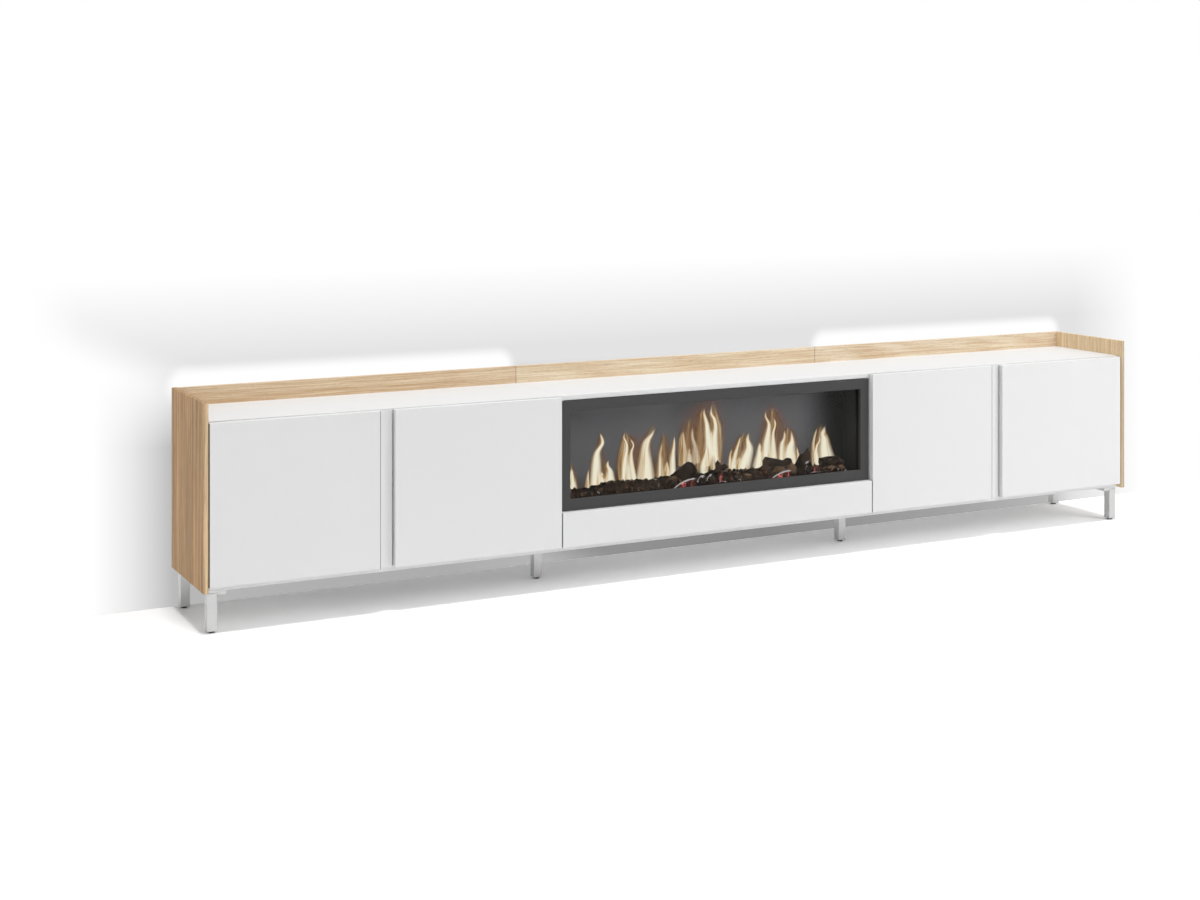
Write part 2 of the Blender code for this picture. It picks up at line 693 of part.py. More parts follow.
def leg(name, x, y, plate_shift_x, plate_shift_y):
    """Make a square leg with its top plate and the threaded hole for its glide."""
    under = BASE - SEAM
    plate_x = x + plate_shift_x
    plate_y = y + plate_shift_y
    low = (plate_x - LEG_PLATE / 2, plate_y - LEG_PLATE / 2, under - LEG_PLATE_THICKNESS)
    high = (plate_x + LEG_PLATE / 2, plate_y + LEG_PLATE / 2, under)
    piece = add_box(name, low, high, "grey_steel")
    low = (x - LEG_TUBE / 2, y - LEG_TUBE / 2, GLIDE_FOOT)
    high = (x + LEG_TUBE / 2, y + LEG_TUBE / 2, under - LEG_PLATE_THICKNESS / 2)
    combine(piece, add_box(name + "_tube", low, high), "UNION")
    hole_depth = GLIDE_STEM + CUT_PAST
    middle = (x, y, GLIDE_FOOT + (hole_depth - CUT_PAST) / 2)
    hole = add_round(name + "_hole", middle, GLIDE_STEM_RADIUS + SEAM, hole_depth + CUT_PAST, "Z")
    combine(piece, hole, "DIFFERENCE")
    soften(piece, EDGE_ROUND)


def glide(name, x, y):
    """Make a levelling glide: a round foot on a threaded stem that rises into its leg."""
    foot_top = GLIDE_FOOT - SEAM
    profile = [
        (0, GLIDE_FOOT + GLIDE_STEM),
        (GLIDE_STEM_RADIUS, GLIDE_FOOT + GLIDE_STEM),
        (GLIDE_STEM_RADIUS, foot_top),
        (GLIDE_RADIUS, foot_top),
        (GLIDE_RADIUS, GLIDE_CHAMFER),
        (GLIDE_RADIUS - GLIDE_CHAMFER, 0),
        (0, 0),
    ]
    add_turned(name, profile, "black_plastic").location = (x, y, 0)


def legs():
    """Stand a leg at each corner and one under each joint between modules."""
    corner_x = SIDE_INNER - LEG_SIDE_INSET - LEG_TUBE / 2
    front_y = CARCASS_FRONT + LEG_END_INSET + LEG_TUBE / 2
    back_y = BACK - LEG_END_INSET - LEG_TUBE / 2
    middle_y = (CARCASS_FRONT + BACK) / 2
    shift = (LEG_PLATE - LEG_TUBE) / 2
    places = (
        ("front_left", -corner_x, front_y, shift, shift),
        ("back_left", -corner_x, back_y, shift, -shift),
        ("middle_left", -BOUNDARY, middle_y, 0, 0),
        ("middle_right", BOUNDARY, middle_y, 0, 0),
        ("front_right", corner_x, front_y, -shift, shift),
        ("back_right", corner_x, back_y, -shift, -shift),
    )
    for label, x, y, plate_shift_x, plate_shift_y in places:
        leg("leg_" + label, x, y, plate_shift_x, plate_shift_y)
        glide("glide_" + label, x, y)


side_panels()
top_boards()
upstands()
gables()
bottom_boards()
back_sheets()
shelves()
doors()
door_hinges()
fire_shelf()
fire_frame()
fire_glass()
fire_casing()
flame_screen()
ember_bed()
flicker_motor()
flicker_rod()
fire_light_bar()
flap()
flap_hinges()
legs()
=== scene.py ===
# %% [markdown]
# A long low television unit with an electric fireplace
#
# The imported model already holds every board, door, hinge and leg at its real size. This lesson dresses
# it: veneer, lacquer, coated steel and glass for the solid pieces, and new meshes for what a board can't
# show, which is the fire, the burnt logs, the screws and the moving parts of the hinges.
# Everything is in metres, the front faces -Y and the floor is at height 0.

# %% Load the model and keep its box
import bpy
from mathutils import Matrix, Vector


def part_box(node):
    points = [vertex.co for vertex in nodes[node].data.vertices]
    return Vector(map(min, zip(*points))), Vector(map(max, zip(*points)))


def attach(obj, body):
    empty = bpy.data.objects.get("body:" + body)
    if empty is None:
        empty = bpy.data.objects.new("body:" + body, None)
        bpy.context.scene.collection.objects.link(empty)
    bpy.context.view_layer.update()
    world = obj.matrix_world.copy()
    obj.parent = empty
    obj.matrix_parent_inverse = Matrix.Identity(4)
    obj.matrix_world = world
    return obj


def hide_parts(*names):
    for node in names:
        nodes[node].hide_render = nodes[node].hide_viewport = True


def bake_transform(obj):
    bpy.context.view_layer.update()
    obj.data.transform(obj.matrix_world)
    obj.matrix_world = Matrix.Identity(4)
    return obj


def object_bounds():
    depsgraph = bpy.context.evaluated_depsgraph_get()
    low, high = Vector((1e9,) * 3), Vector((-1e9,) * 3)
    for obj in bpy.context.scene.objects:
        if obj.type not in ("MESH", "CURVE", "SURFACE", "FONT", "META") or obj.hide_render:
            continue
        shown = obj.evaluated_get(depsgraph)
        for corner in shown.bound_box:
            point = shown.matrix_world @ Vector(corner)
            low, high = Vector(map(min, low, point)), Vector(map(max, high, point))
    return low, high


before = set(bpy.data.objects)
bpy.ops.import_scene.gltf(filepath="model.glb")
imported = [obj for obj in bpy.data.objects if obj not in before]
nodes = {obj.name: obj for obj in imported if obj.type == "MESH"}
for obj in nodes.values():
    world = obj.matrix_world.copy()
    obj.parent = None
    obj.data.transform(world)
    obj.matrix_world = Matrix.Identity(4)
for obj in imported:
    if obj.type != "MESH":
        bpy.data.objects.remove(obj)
cad_box = [list(corner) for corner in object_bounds()]

import math

import bmesh
import bpy
import mathutils
import numpy as np

MM = 0.001
print("nodes", len(nodes), "box", cad_box)

# %% [markdown]
# Colours
#
# A colour picker shows sRGB values, as a screen does, but a renderer adds light in linear values. One
# function turns the hex code of a screen colour into the linear colour that a shader socket takes.


# %% Turn a hex colour to linear
def linear(code):
    """Give the linear colour of an sRGB hex code: (c / 12.92), or ((c + 0.055) / 1.055) to the power 2.4."""
    parts = np.array([int(code[start:start + 2], 16) for start in (1, 3, 5)]) / 255
    curve = np.where(parts <= 0.04045, parts / 12.92, ((parts + 0.055) / 1.055) ** 2.4)
    return (*curve.tolist(), 1.0)


print("mid grey", [round(value, 3) for value in linear("#808080")])

# %% [markdown]
# Building a material
#
# A material is a graph. Each node has settings of its own and sockets that take a number, a colour or
# another node's result, so one small function is enough to place any of them. The rest are short names
# for the nodes that nearly every material here uses.


# %% Helpers for materials
def add(tree, kind, settings=None, sockets=None):
    """Add a node, give it its settings, and fill or link its sockets."""
    node = tree.nodes.new("ShaderNode" + kind)
    for name, value in (settings or {}).items():
        setattr(node, name, value)
    for key, value in (sockets or {}).items():
        if isinstance(value, bpy.types.NodeSocket):
            tree.links.new(value, node.inputs[key])
        else:
            node.inputs[key].default_value = value
    return node


def start_material(name, **plain):
    """Start a material with a Principled shader and set its plain sockets."""
    material = bpy.data.materials.new(name)
    material.use_nodes = True
    shader = material.node_tree.nodes["Principled BSDF"]
    for key, value in plain.items():
        shader.inputs[key.replace("_", " ")].default_value = value
    print("material", name)
    return material, material.node_tree, shader


def feed(shader, **results):
    """Link each result to the shader's socket of that name."""
    for name, result in results.items():
        shader.id_data.links.new(result, shader.inputs[name.replace("_", " ")])


def own_place(tree):
    """The place on the piece itself, in metres."""
    return add(tree, "TexCoord").outputs["Object"]


def split(tree, kind, value):
    """The three parts of a place (XYZ) or a colour (Color)."""
    return add(tree, "Separate" + kind, None, {0: value}).outputs


def sums(tree, operation, *values):
    """One step of arithmetic with up to three values."""
    return add(tree, "Math", {"operation": operation}, dict(enumerate(values))).outputs[0]


def times(tree, result, *values):
    """Multiply values one after another."""
    for value in values:
        result = sums(tree, "MULTIPLY", result, value)
    return result


def ramp(tree, value, start, end, low=0.0, high=1.0, kind="LINEAR"):
    """Carry a value from one range to another, and hold it at the ends."""
    return add(tree, "MapRange", {"interpolation_type": kind}, {
        "Value": value, "From Min": start, "From Max": end, "To Min": low, "To Max": high,
    }).outputs[0]


def soft_step(tree, value, start, end):
    """Rise from 0 to 1 between two values, smoothly at both ends."""
    return ramp(tree, value, start, end, 0.0, 1.0, "SMOOTHSTEP")


# %% Colour, noise and bumps
def mix(tree, share, first, second, way="MIX"):
    """Mix two colours. Each is a hex code, a linear colour or a result."""
    first, second = (linear(paint) if isinstance(paint, str) else paint for paint in (first, second))
    settings = {"data_type": "RGBA", "blend_type": way}
    return add(tree, "Mix", settings, {0: share, 6: first, 7: second}).outputs[2]


def noise(tree, place, scale, detail, **more):
    """Noise over a place, with its scale in waves per metre."""
    sockets = {"Vector": place, "Scale": scale, "Detail": detail, **more}
    return add(tree, "TexNoise", None, sockets).outputs["Fac"]


def bumps(tree, height, strength, distance, invert=False):
    """Tilt the surface as if it rose by height times distance."""
    sockets = {"Height": height, "Strength": strength, "Distance": distance}
    return add(tree, "Bump", {"invert": invert}, sockets).outputs[0]


def dress(names, material):
    """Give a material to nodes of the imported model."""
    for name in names:
        nodes[name].data.materials.clear()
        nodes[name].data.materials.append(material)
    print(material.name, "on", len(names), "nodes")


# %% [markdown]
# Oak veneer
#
# The end panels and the rail are faced with oak, sliced thin and pressed on board, then sealed with a
# matt varnish. What gives oak away is the growth rings, drawn out along the grain and now and then closed
# to a long arch, wide soft bands of lighter and darker wood, fine fibres between them, and open pores that
# catch the light. The rings are the Wave texture's circles, stretched along the grain, so that a cut near
# the heart shows arches and a cut far from it shows straight lines. Bands, fibres and pores are noise
# squeezed across the grain. Real pores are 0.2 mm wide. They are drawn 1.2 mm wide, because finer ones
# would vanish at this distance. The same oak gets lit and shaded copies of its paint: the right end panel
# is painted lighter, as painted light from the glow of the lamp strip beside it, the left end panel darker
# and deeper, as painted shade, and the left length of the rail a little darker, as painted shade. A factor
# on each panel's front edge paints that edge lighter on the left and darker on the right than its face.

# %% Sizes of the figure in oak
RING_SPACING = 8 * MM
BAND_LENGTH, BAND_WIDTH = 520 * MM, 13 * MM
FIBRE_LENGTH, FIBRE_WIDTH = 190 * MM, 4.2 * MM
PORE_LENGTH, PORE_WIDTH = 24 * MM, 1.2 * MM
DRIFT_LENGTH, DRIFT_WIDTH = 420 * MM, 90 * MM
DRIFT = 10 * MM
RING_SHARE, BAND_SHARE, FIBRE_SHARE = 0.2, 0.24, 0.5
PORE_SHARE = 0.28
EDGE_BAND = cad_box[0][1] + 0.3 * MM
WAVE_RADIANS = 20.0


def along_grain(tree, place, length, width):
    """Squeeze a place so that noise over it is long along the grain and narrow across it."""
    scale = (1 / length, 1 / width, 1 / width)
    return add(tree, "Mapping", None, {"Vector": place, "Scale": scale}).outputs[0]


# %% Oak as a material
def oak_veneer(name, turn, heart, arch, light, dark, edge=(1.0, 1.0, 1.0), grain=1.0):
    """Oak with its grain along the axis that the turn brings to X. Heart is the middle of the rings.

    A panel's front edge has a colour that is the face's times edge. A larger grain draws the figure larger
    by that factor.
    """
    material, tree, shader = start_material(name, Roughness=0.52, Specular_IOR_Level=0.12)
    place = own_place(tree)
    laid = add(tree, "Mapping", None, {"Vector": place, "Rotation": turn}).outputs[0]
    laid = add(tree, "VectorMath", {"operation": "SCALE"}, {0: laid, "Scale": 1 / grain}).outputs[0]
    slow = along_grain(tree, laid, DRIFT_LENGTH, DRIFT_WIDTH)
    drift = add(tree, "TexNoise", None, {"Vector": slow, "Scale": 1.0, "Detail": 2.0}).outputs["Color"]
    bent = add(tree, "VectorMath", {"operation": "MULTIPLY_ADD"}, {0: drift, 1: (0, DRIFT, DRIFT), 2: laid})
    bent = bent.outputs[0]
    stretch = (arch, 1, 1)
    spot = tuple(-part * size for part, size in zip(heart, stretch))
    round_heart = add(tree, "Mapping", None, {"Vector": bent, "Location": spot, "Scale": stretch})
    rings = add(tree, "TexWave", {"wave_type": "RINGS", "rings_direction": "SPHERICAL"}, {
        "Vector": round_heart.outputs[0],
        "Scale": 2 * math.pi / WAVE_RADIANS / RING_SPACING,
        "Distortion": 1.2,
        "Detail": 2.0,
        "Detail Scale": 0.6,
    }).outputs["Fac"]
    band = ramp(tree, noise(tree, along_grain(tree, bent, BAND_LENGTH, BAND_WIDTH), 1.0, 1.0), 0.32, 0.68)
    fibre = ramp(tree, noise(tree, along_grain(tree, bent, FIBRE_LENGTH, FIBRE_WIDTH), 1.0, 2.0), 0.36, 0.64)
    pore = ramp(tree, noise(tree, along_grain(tree, bent, PORE_LENGTH, PORE_WIDTH), 1.0, 1.0), 0.56, 0.72)
    figure = times(tree, rings, RING_SHARE)
    figure = sums(tree, "MULTIPLY_ADD", band, BAND_SHARE, figure)
    figure = sums(tree, "MULTIPLY_ADD", fibre, FIBRE_SHARE, figure)
    on_edge = ramp(tree, split(tree, "XYZ", place)["Y"], EDGE_BAND + 0.2 * MM, EDGE_BAND)
    ground = mix(tree, on_edge, mix(tree, figure, light, dark), (*edge, 1.0), "MULTIPLY")
    feed(
        shader,
        Base_Color=mix(tree, times(tree, pore, PORE_SHARE), ground, "#8A6238", "MULTIPLY"),
        Roughness=ramp(tree, pore, 0.0, 1.0, 0.46, 0.68),
        Normal=bumps(tree, pore, 0.25, 0.1 * MM, True),
    )
    return material


# %% Veneer the rail and the end panels
UPRIGHT = (0, math.pi / 2, 0)
LYING = (-math.pi / 2, 0, 0)
rail_low, rail_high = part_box("upstand_left")
heart = ((rail_low.x + rail_high.x) / 2 - 150 * MM, rail_low.z + 30 * MM, 0.0)
# painted shade: the left length of the rail is painted a little darker than the centre and right lengths
for label, light, dark in (
    ("left", "#F4E0C3", "#CAA579"), ("centre", "#FAEBD1", "#D5B489"), ("right", "#FAECD4", "#D5B58D"),
):
    dress(["upstand_" + label], oak_veneer("oak_veneer_" + label, LYING, heart, 0.05, light, dark))
# painted light and shade: the right panel is painted lighter as painted light, the left one darker and deeper
# as painted shade, and the edge factor paints each front edge lighter or darker than its face
for side, heart, light, dark, edge, grain in (
    ("left", (0.2, -0.42, 0.0), "#CA9F6C", "#755B3C", (1.64, 2.03, 2.87), 2.5),
    ("right", (0.1, -0.35, 0.0), "#F8E5C3", "#D1AC80", (0.73, 0.73, 0.73), 1.0),
):
    oak = oak_veneer(side + "_panel_oak_veneer", UPRIGHT, heart, 0.06, light, dark, edge, grain)
    dress(["side_panel_" + side], oak)

# %% [markdown]
# White board, white lacquer and white hardboard
#
# The carcass is chipboard faced with melamine paper: hard, matt, and very slightly pebbled by the press
# plate. The doors, flap and pulls are sprayed with silk-matt lacquer, which flows out almost flat and
# keeps a soft, wide waviness. The back sheets are thin hardboard, painted white on a fibrous face. All
# three are white, so the eye tells them apart by gloss and by the scale of their surface, not by colour.


# %% Three whites
def white_surface(name, code, roughness, grain, depth, shade):
    """A white with a pebble of a given grain and depth, and a faint slow change of tone."""
    material, tree, shader = start_material(name, Roughness=roughness, Specular_IOR_Level=0.4)
    place = own_place(tree)
    pebble = noise(tree, place, 1 / grain, 2.0)
    feed(
        shader,
        Base_Color=mix(tree, noise(tree, place, 2.4, 2.0), code, shade),
        Roughness=ramp(tree, pebble, 0.0, 1.0, roughness - 0.05, roughness + 0.05),
        Normal=bumps(tree, pebble, 0.3, depth),
    )
    return material


melamine = white_surface("white_melamine_board", "#EEEEEE", 0.48, 1.6 * MM, 0.03 * MM, "#EBEBEB")
lacquer = white_surface("white_silk_lacquer", "#F0F0F0", 0.34, 5.0 * MM, 0.02 * MM, "#EDEDED")
hardboard = white_surface("white_hardboard", "#ECEBE7", 0.62, 3.0 * MM, 0.08 * MM, "#E4E2DC")

# %% [markdown]
# Coated steel, nickel, polymer and dark sheet
#
# The legs are square steel tube with a silver powder coat: fine metal flake under a satin film, so they
# reflect like metal but blur it. Hinges are pressed steel with bright nickel, the glides are black nylon,
# the fireplace trim is steel with a dark grey powder coat that has a leathery grain, and its casing is
# the same in dull black. The strips in the gaps are matt: black at the sides and pulls as painted shade,
# white over the doors as painted light, and the same black lines the rail's joints. One function makes
# all of them, because they differ only in tone and texture.


# %% Metals and dark finishes
def coated(name, code, shade, roughness, metallic, grain, depth, gloss=0.5):
    """A coat over metal or polymer, with a grain that changes its tone, its gloss and its surface."""
    material, tree, shader = start_material(
        name, Roughness=roughness, Metallic=metallic, Specular_IOR_Level=gloss,
    )
    speck = noise(tree, own_place(tree), 1 / grain, 3.0)
    feed(
        shader,
        Base_Color=mix(tree, ramp(tree, speck, 0.35, 0.65), code, shade),
        Roughness=ramp(tree, speck, 0.0, 1.0, roughness - 0.06, roughness + 0.06),
        Normal=bumps(tree, speck, 0.4, depth),
    )
    return material


silver = coated("silver_powder_coat", "#C3C3C3", "#B9B9B9", 0.38, 0.75, 1.2 * MM, 0.02 * MM)
nickel = coated("bright_nickel", "#D8D5CF", "#CBC8C1", 0.24, 1.0, 6.0 * MM, 0.01 * MM)
nylon = coated("black_nylon", "#1C1C1D", "#232324", 0.5, 0.0, 1.5 * MM, 0.03 * MM)
trim = coated("dark_grey_powder_coat", "#464646", "#4C4C4C", 0.55, 0.0, 1.8 * MM, 0.05 * MM, 0.15)
sheet = coated("black_casing_coat", "#262626", "#2D2D2D", 0.62, 0.0, 2.5 * MM, 0.05 * MM, 0.2)
foil = coated("polished_foil", "#E4E4E4", "#D6D6D6", 0.12, 1.0, 8.0 * MM, 0.02 * MM)
motor_can = coated("zinc_motor_can", "#A3A4A6", "#8F9092", 0.36, 1.0, 3.0 * MM, 0.02 * MM)
# black: painted shade in the gaps, and the rail's joint lines; white: painted light in the gaps over the
# doors
gap_shade_and_joint_black = coated("black_gap_shade_and_joint", "#121212", "#191919", 0.8, 0.0, 1.0 * MM, 0.03 * MM, 0.2)
gap_light_white = coated("white_gap_painted_light", "#E2E2E2", "#DCDCDC", 0.8, 0.0, 1.0 * MM, 0.03 * MM, 0.2)
for prefixes, material in (
    # a later row wins, as for the flap's hinges
    (("top_board", "bottom_board", "gable", "shelf", "fire_shelf"), melamine),
    (("door_", "finger_pull", "flap"), lacquer),
    (("back_panel",), hardboard),
    (("leg_",), silver),
    (("hinge_", "flap_hinge"), nickel),
    (("glide_",), nylon),
    (("fire_frame",), trim),
    (("fire_casing",), sheet),
    (("flicker_rod",), foil),
    (("flicker_motor",), motor_can),
):
    dress([name for name in nodes if name.startswith(prefixes)], material)

# %% [markdown]
# Glass and the smoked screen
#
# The pane in front is float glass with an anti-glare coat, so it sends back about 1% of the room where
# bare glass sends back 8%. A lower index of refraction stands in for the coat. Lamps must reach the
# embers behind it, so shadow and diffuse rays meet a plain transparent surface and only the rays that the
# eye follows meet real glass. Behind the embers stands a smoked acrylic screen on which a real insert
# shows its flames. Its own tint is near black, and over most of it a mottled grey is painted on, as a
# painted reflection of the room in the pane, which fades out over 180 mm near the right end.

# %% Pane and screen
pane, tree, shader = start_material("coated_float_glass", Roughness=0.0, Transmission_Weight=1.0, IOR=1.14)
path = add(tree, "LightPath").outputs
lamp_ray = sums(tree, "MAXIMUM", path["Is Shadow Ray"], path["Is Diffuse Ray"])
clear = add(tree, "BsdfTransparent").outputs[0]
both = add(tree, "MixShader", None, {0: lamp_ray, 1: shader.outputs[0], 2: clear})
tree.links.new(both.outputs[0], tree.nodes["Material Output"].inputs["Surface"])
dress(["fire_glass"], pane)

# painted reflection: the mottled grey stands in for the room seen in the pane, and fades to the near-black
# tint between these two places
REFLECTION_FADE_START, REFLECTION_FADE_END = 0.37, 0.55
smoked, tree, shader = start_material("smoked_acrylic", Roughness=0.55, Specular_IOR_Level=0.2)
place = own_place(tree)
mottled_painted_reflection = mix(tree, noise(tree, place, 1 / (140 * MM), 2.0), "#6E6E70", "#7E7E80")
depth = soft_step(tree, split(tree, "XYZ", place)["X"], REFLECTION_FADE_START, REFLECTION_FADE_END)
feed(shader, Base_Color=mix(tree, depth, mottled_painted_reflection, "#1F1D1B"))
dress(["flame_screen"], smoked)

# %% [markdown]
# Light strips
#
# Behind the end rails and under the flicker rod lie strips of small lamps under a milky cover. Each lamp
# shows as a soft brighter spot. The spots come from the Wave texture along the strip, 16 mm apart.

# %% Lit diffuser
LAMP_SPACING = 16 * MM
strip, tree, shader = start_material("lit_opal_diffuser", Roughness=0.4, Emission_Strength=1.6)
spots = add(tree, "TexWave", {"wave_type": "BANDS", "bands_direction": "X"}, {
    "Vector": own_place(tree), "Scale": 2 * math.pi / WAVE_RADIANS / LAMP_SPACING,
}).outputs["Fac"]
glow = mix(tree, spots, "#D9CDB4", "#FFF6E2")
feed(shader, Base_Color=glow, Emission_Color=glow)
dress(["light_strip_left", "light_strip_right", "fire_light_bar"], strip)

# %% [markdown]
# Surfaces from numpy
#
# Every new piece below is a surface worked out over a grid of two parameters that run from 0 to 1. The
# faces only need the grid's own order, so one function numbers them for any shape, and another turns
# points and faces into an object that rides on a body of the model. Points that meet at a pole or a seam
# are merged there, and the faces are turned outwards.


# %% Grid, faces and piece
def grid(rows, columns):
    """Give two parameters from 0 to 1, one along the rows and one along the columns."""
    return np.meshgrid(np.linspace(0, 1, rows), np.linspace(0, 1, columns), indexing="ij")


def quads(rows, columns):
    """Number the four-sided faces between neighbouring points of a grid."""
    order = np.arange(rows * columns).reshape(rows, columns)
    corners = (order[:-1, :-1], order[:-1, 1:], order[1:, 1:], order[1:, :-1])
    return np.stack(corners, axis=-1).reshape(-1, 4)


def repeat(shapes, faces):
    """Give the points and faces of many shapes that share one set of faces, as one mesh."""
    count, size = shapes.shape[0], shapes.shape[1]
    offsets = (np.arange(count) * size)[:, None, None]
    return shapes.reshape(-1, 3), (faces[None] + offsets).reshape(-1, faces.shape[1])


def make_piece(name, points, faces, material, body="cabinet", slot=None, marks=None, closed=True):
    """Make an object from points and faces. Marks is a colour for each point, kept as an attribute."""
    mesh = bpy.data.meshes.new(name)
    mesh.from_pydata(np.asarray(points).reshape(-1, 3).tolist(), [], faces.tolist())
    if marks is not None:
        layer = mesh.color_attributes.new("marks", "FLOAT_COLOR", "POINT")
        layer.data.foreach_set("color", np.asarray(marks, dtype=np.float32).ravel())
    work = bmesh.new()
    work.from_mesh(mesh)
    bmesh.ops.remove_doubles(work, verts=work.verts, dist=1e-6)
    bmesh.ops.dissolve_degenerate(work, edges=work.edges, dist=1e-7)
    if closed:
        bmesh.ops.recalc_face_normals(work, faces=work.faces)
    work.to_mesh(mesh)
    work.free()
    mesh.shade_smooth()
    mesh.materials.append(material)
    piece = bpy.data.objects.new(name, mesh)
    bpy.context.scene.collection.objects.link(piece)
    if body:
        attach(piece, body)
    print(name, len(mesh.polygons), "faces")
    return piece


# %% [markdown]
# Roughness without a texture
#
# Burnt wood and coal are rough in the mesh itself. A handful of plane waves in seeded random directions,
# added up, makes a smooth field that never repeats over the size of one piece.


# %% A field of crossed waves
def ripple(points, size, seed, waves=14):
    """Add plane waves of about one length: the sum of sin(2 pi d.p / size + phase), scaled to about 1."""
    dice = np.random.default_rng(seed)
    directions = dice.normal(size=(waves, 3))
    directions /= np.linalg.norm(directions, axis=1)[:, None]
    lengths = size * dice.uniform(0.6, 1.6, waves)
    phases = dice.uniform(0, 2 * math.pi, waves)
    angles = points @ (2 * math.pi * directions / lengths[:, None]).T + phases
    return np.sin(angles).sum(axis=-1) / math.sqrt(waves)


# %% [markdown]
# Burnt resin
#
# The ember bed of such an insert is cast resin, painted by hand: near-black coal, brown where the wood
# isn't charred through, dusty grey-white ash on top edges, and red light from below through the cracks.
# The three shares are painted on each point as marks (red: ash, green: glow, blue: brown), and noise
# breaks up their edges.

# %% Ember paint
GRIT = 6 * MM
CRACK_SPACING = 9 * MM
ember, tree, shader = start_material(
    "painted_ember_resin", Roughness=0.85, Specular_IOR_Level=0.1, Emission_Strength=1.0,
)
place = own_place(tree)
marks = split(tree, "Color", add(tree, "Attribute", {"attribute_name": "marks"}).outputs["Color"])
grit = noise(tree, place, 1 / GRIT, 4.0)
crack = add(tree, "TexVoronoi", {"feature": "DISTANCE_TO_EDGE"}, {
    "Vector": place, "Scale": 1 / CRACK_SPACING,
}).outputs["Distance"]
coal = mix(tree, grit, "#050403", "#35281C")
wood = mix(tree, times(tree, marks["Blue"], grit), coal, "#9A7B60")
ash = soft_step(tree, sums(tree, "ADD", marks["Red"], grit), 0.82, 1.25)
hot = sums(tree, "MULTIPLY_ADD", grit, 0.9, ramp(tree, crack, 0.0, 0.35, 1.0, 0.0))
hot = soft_step(tree, times(tree, hot, marks["Green"]), 0.55, 1.35)
hue = mix(tree, soft_step(tree, grit, 0.42, 0.68), "#6E1426", "#F58A7C")
feed(
    shader,
    Base_Color=mix(tree, ash, wood, "#CFCBC9"),
    Emission_Color=mix(tree, hot, "#000000", hue),
    Normal=bumps(tree, grit, 0.8, 1.2 * MM),
)

# %% [markdown]
# The coal bed
#
# The bed is a low mound of crushed coal between the glass and the screen. Its top is the same crossed
# wave as in the solid model, with rubble added, and its rim is folded down to the floor of the tray.

# %% The mound
bed_low, bed_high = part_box("ember_bed")
WINDOW_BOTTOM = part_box("fire_frame")[0].z + 36 * MM
BED_RISE = 21 * MM
BED_BUMP = 5 * MM
BED_CELL = 20 * MM


def bed_height(x, y):
    """Height of the mound: two long waves and a short one, added to the level of the window's lower edge."""
    long_wave = np.sin(x / (2 * BED_CELL)) + np.sin(y / BED_CELL + x / (3 * BED_CELL))
    short_wave = np.sin(x / (BED_CELL / 2) + y / (BED_CELL / 3))
    return WINDOW_BOTTOM + BED_RISE + BED_BUMP * (long_wave + short_wave) / 2


# Where the mound is lower than the waves: place along the bed and drop, both in millimetres.
DROPS = np.array([
    (-585, 14), (-547, 13), (-484, 20), (-446, 16), (-401, 6), (-371, 0), (-295, 0), (-218, 8), (-179, 4),
    (-100, 0), (0, 0), (59, 10), (120, 0), (285, 6), (411, 12), (483, 12), (518, 22), (552, 36), (587, 42),
]) * MM
FRONT_DROP, FRONT_SLOPE = 9 * MM, 1.6
MOUND_SINK = 1.5 * MM
RUBBLE = ((13 * MM, 2.2 * MM), (6 * MM, 1.3 * MM))


def coal_surface(x, y):
    """The lower of two heights: the waves less a drop, and a slope that runs down to the glass."""
    waves = bed_height(x, y) - np.interp(x, *DROPS.T)
    return np.minimum(waves, WINDOW_BOTTOM - FRONT_DROP + FRONT_SLOPE * (y - bed_low.y))


def coal_mound(rows, columns):
    """A sheet over the tray whose outermost rows drop to the tray's floor."""
    across, along = grid(rows, columns)
    x = bed_low.x + (bed_high.x - bed_low.x) * along
    y = bed_low.y + (bed_high.y - bed_low.y) * across
    flat = np.stack([x, y, np.zeros_like(x)], axis=-1)
    rubble = sum(ripple(flat, size, 3 + extra) * rise for extra, (size, rise) in enumerate(RUBBLE))
    z = coal_surface(x, y) - MOUND_SINK + rubble
    from_side = np.minimum(across, 1 - across) * (rows - 1)
    from_end = np.minimum(along, 1 - along) * (columns - 1)
    z = np.where(np.minimum(from_side, from_end) < 0.5, bed_low.z, z)
    return np.stack([x, y, z], axis=-1)


MOUND_ROWS, MOUND_COLUMNS = 48, 440
mound = coal_mound(MOUND_ROWS, MOUND_COLUMNS)
mound_marks = np.zeros((MOUND_ROWS * MOUND_COLUMNS, 4))
mound_marks[:, 2] = 0.1
faces = quads(MOUND_ROWS, MOUND_COLUMNS)
bed = make_piece("ember_mound", mound, faces, ember, "cabinet", "ember", mound_marks, False)
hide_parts("ember_bed")

# %% [markdown]
# Loose coals
#
# Over a thousand small lumps lie on the mound. Each is a sphere of two angles whose radius is bent by a
# few waves, then squashed, turned about the upright and sunk by nearly half. All are worked out at once.


# %% Scatter the coals
def lump_shapes(places, sizes, seed, turned=1.0, rows=7, columns=9):
    """Bent spheres: radius 1 + 0.22 sin(3 a + p) sin(2 b + q) + 0.12 sin(2 a + q), a round and b down."""
    dice = np.random.default_rng(seed)
    count = len(places)
    down, turn = grid(rows, columns)
    down = down.ravel() * math.pi
    turn = turn.ravel() * 2 * math.pi
    p, q = dice.uniform(0, 2 * math.pi, (2, count, 1))
    wobble = 1 + 0.22 * np.sin(3 * turn + p) * np.sin(2 * down + q) + 0.12 * np.sin(2 * turn + q)
    sphere = np.stack([np.sin(down) * np.cos(turn), np.sin(down) * np.sin(turn), np.cos(down)], axis=-1)
    shapes = sphere[None] * wobble[..., None] * sizes[:, None, :]
    spin = turned * dice.uniform(0, 2 * math.pi, (count, 1))
    x = shapes[..., 0] * np.cos(spin) - shapes[..., 1] * np.sin(spin)
    y = shapes[..., 0] * np.sin(spin) + shapes[..., 1] * np.cos(spin)
    return np.stack([x, y, shapes[..., 2]], axis=-1) + places[:, None, :], quads(rows, columns)


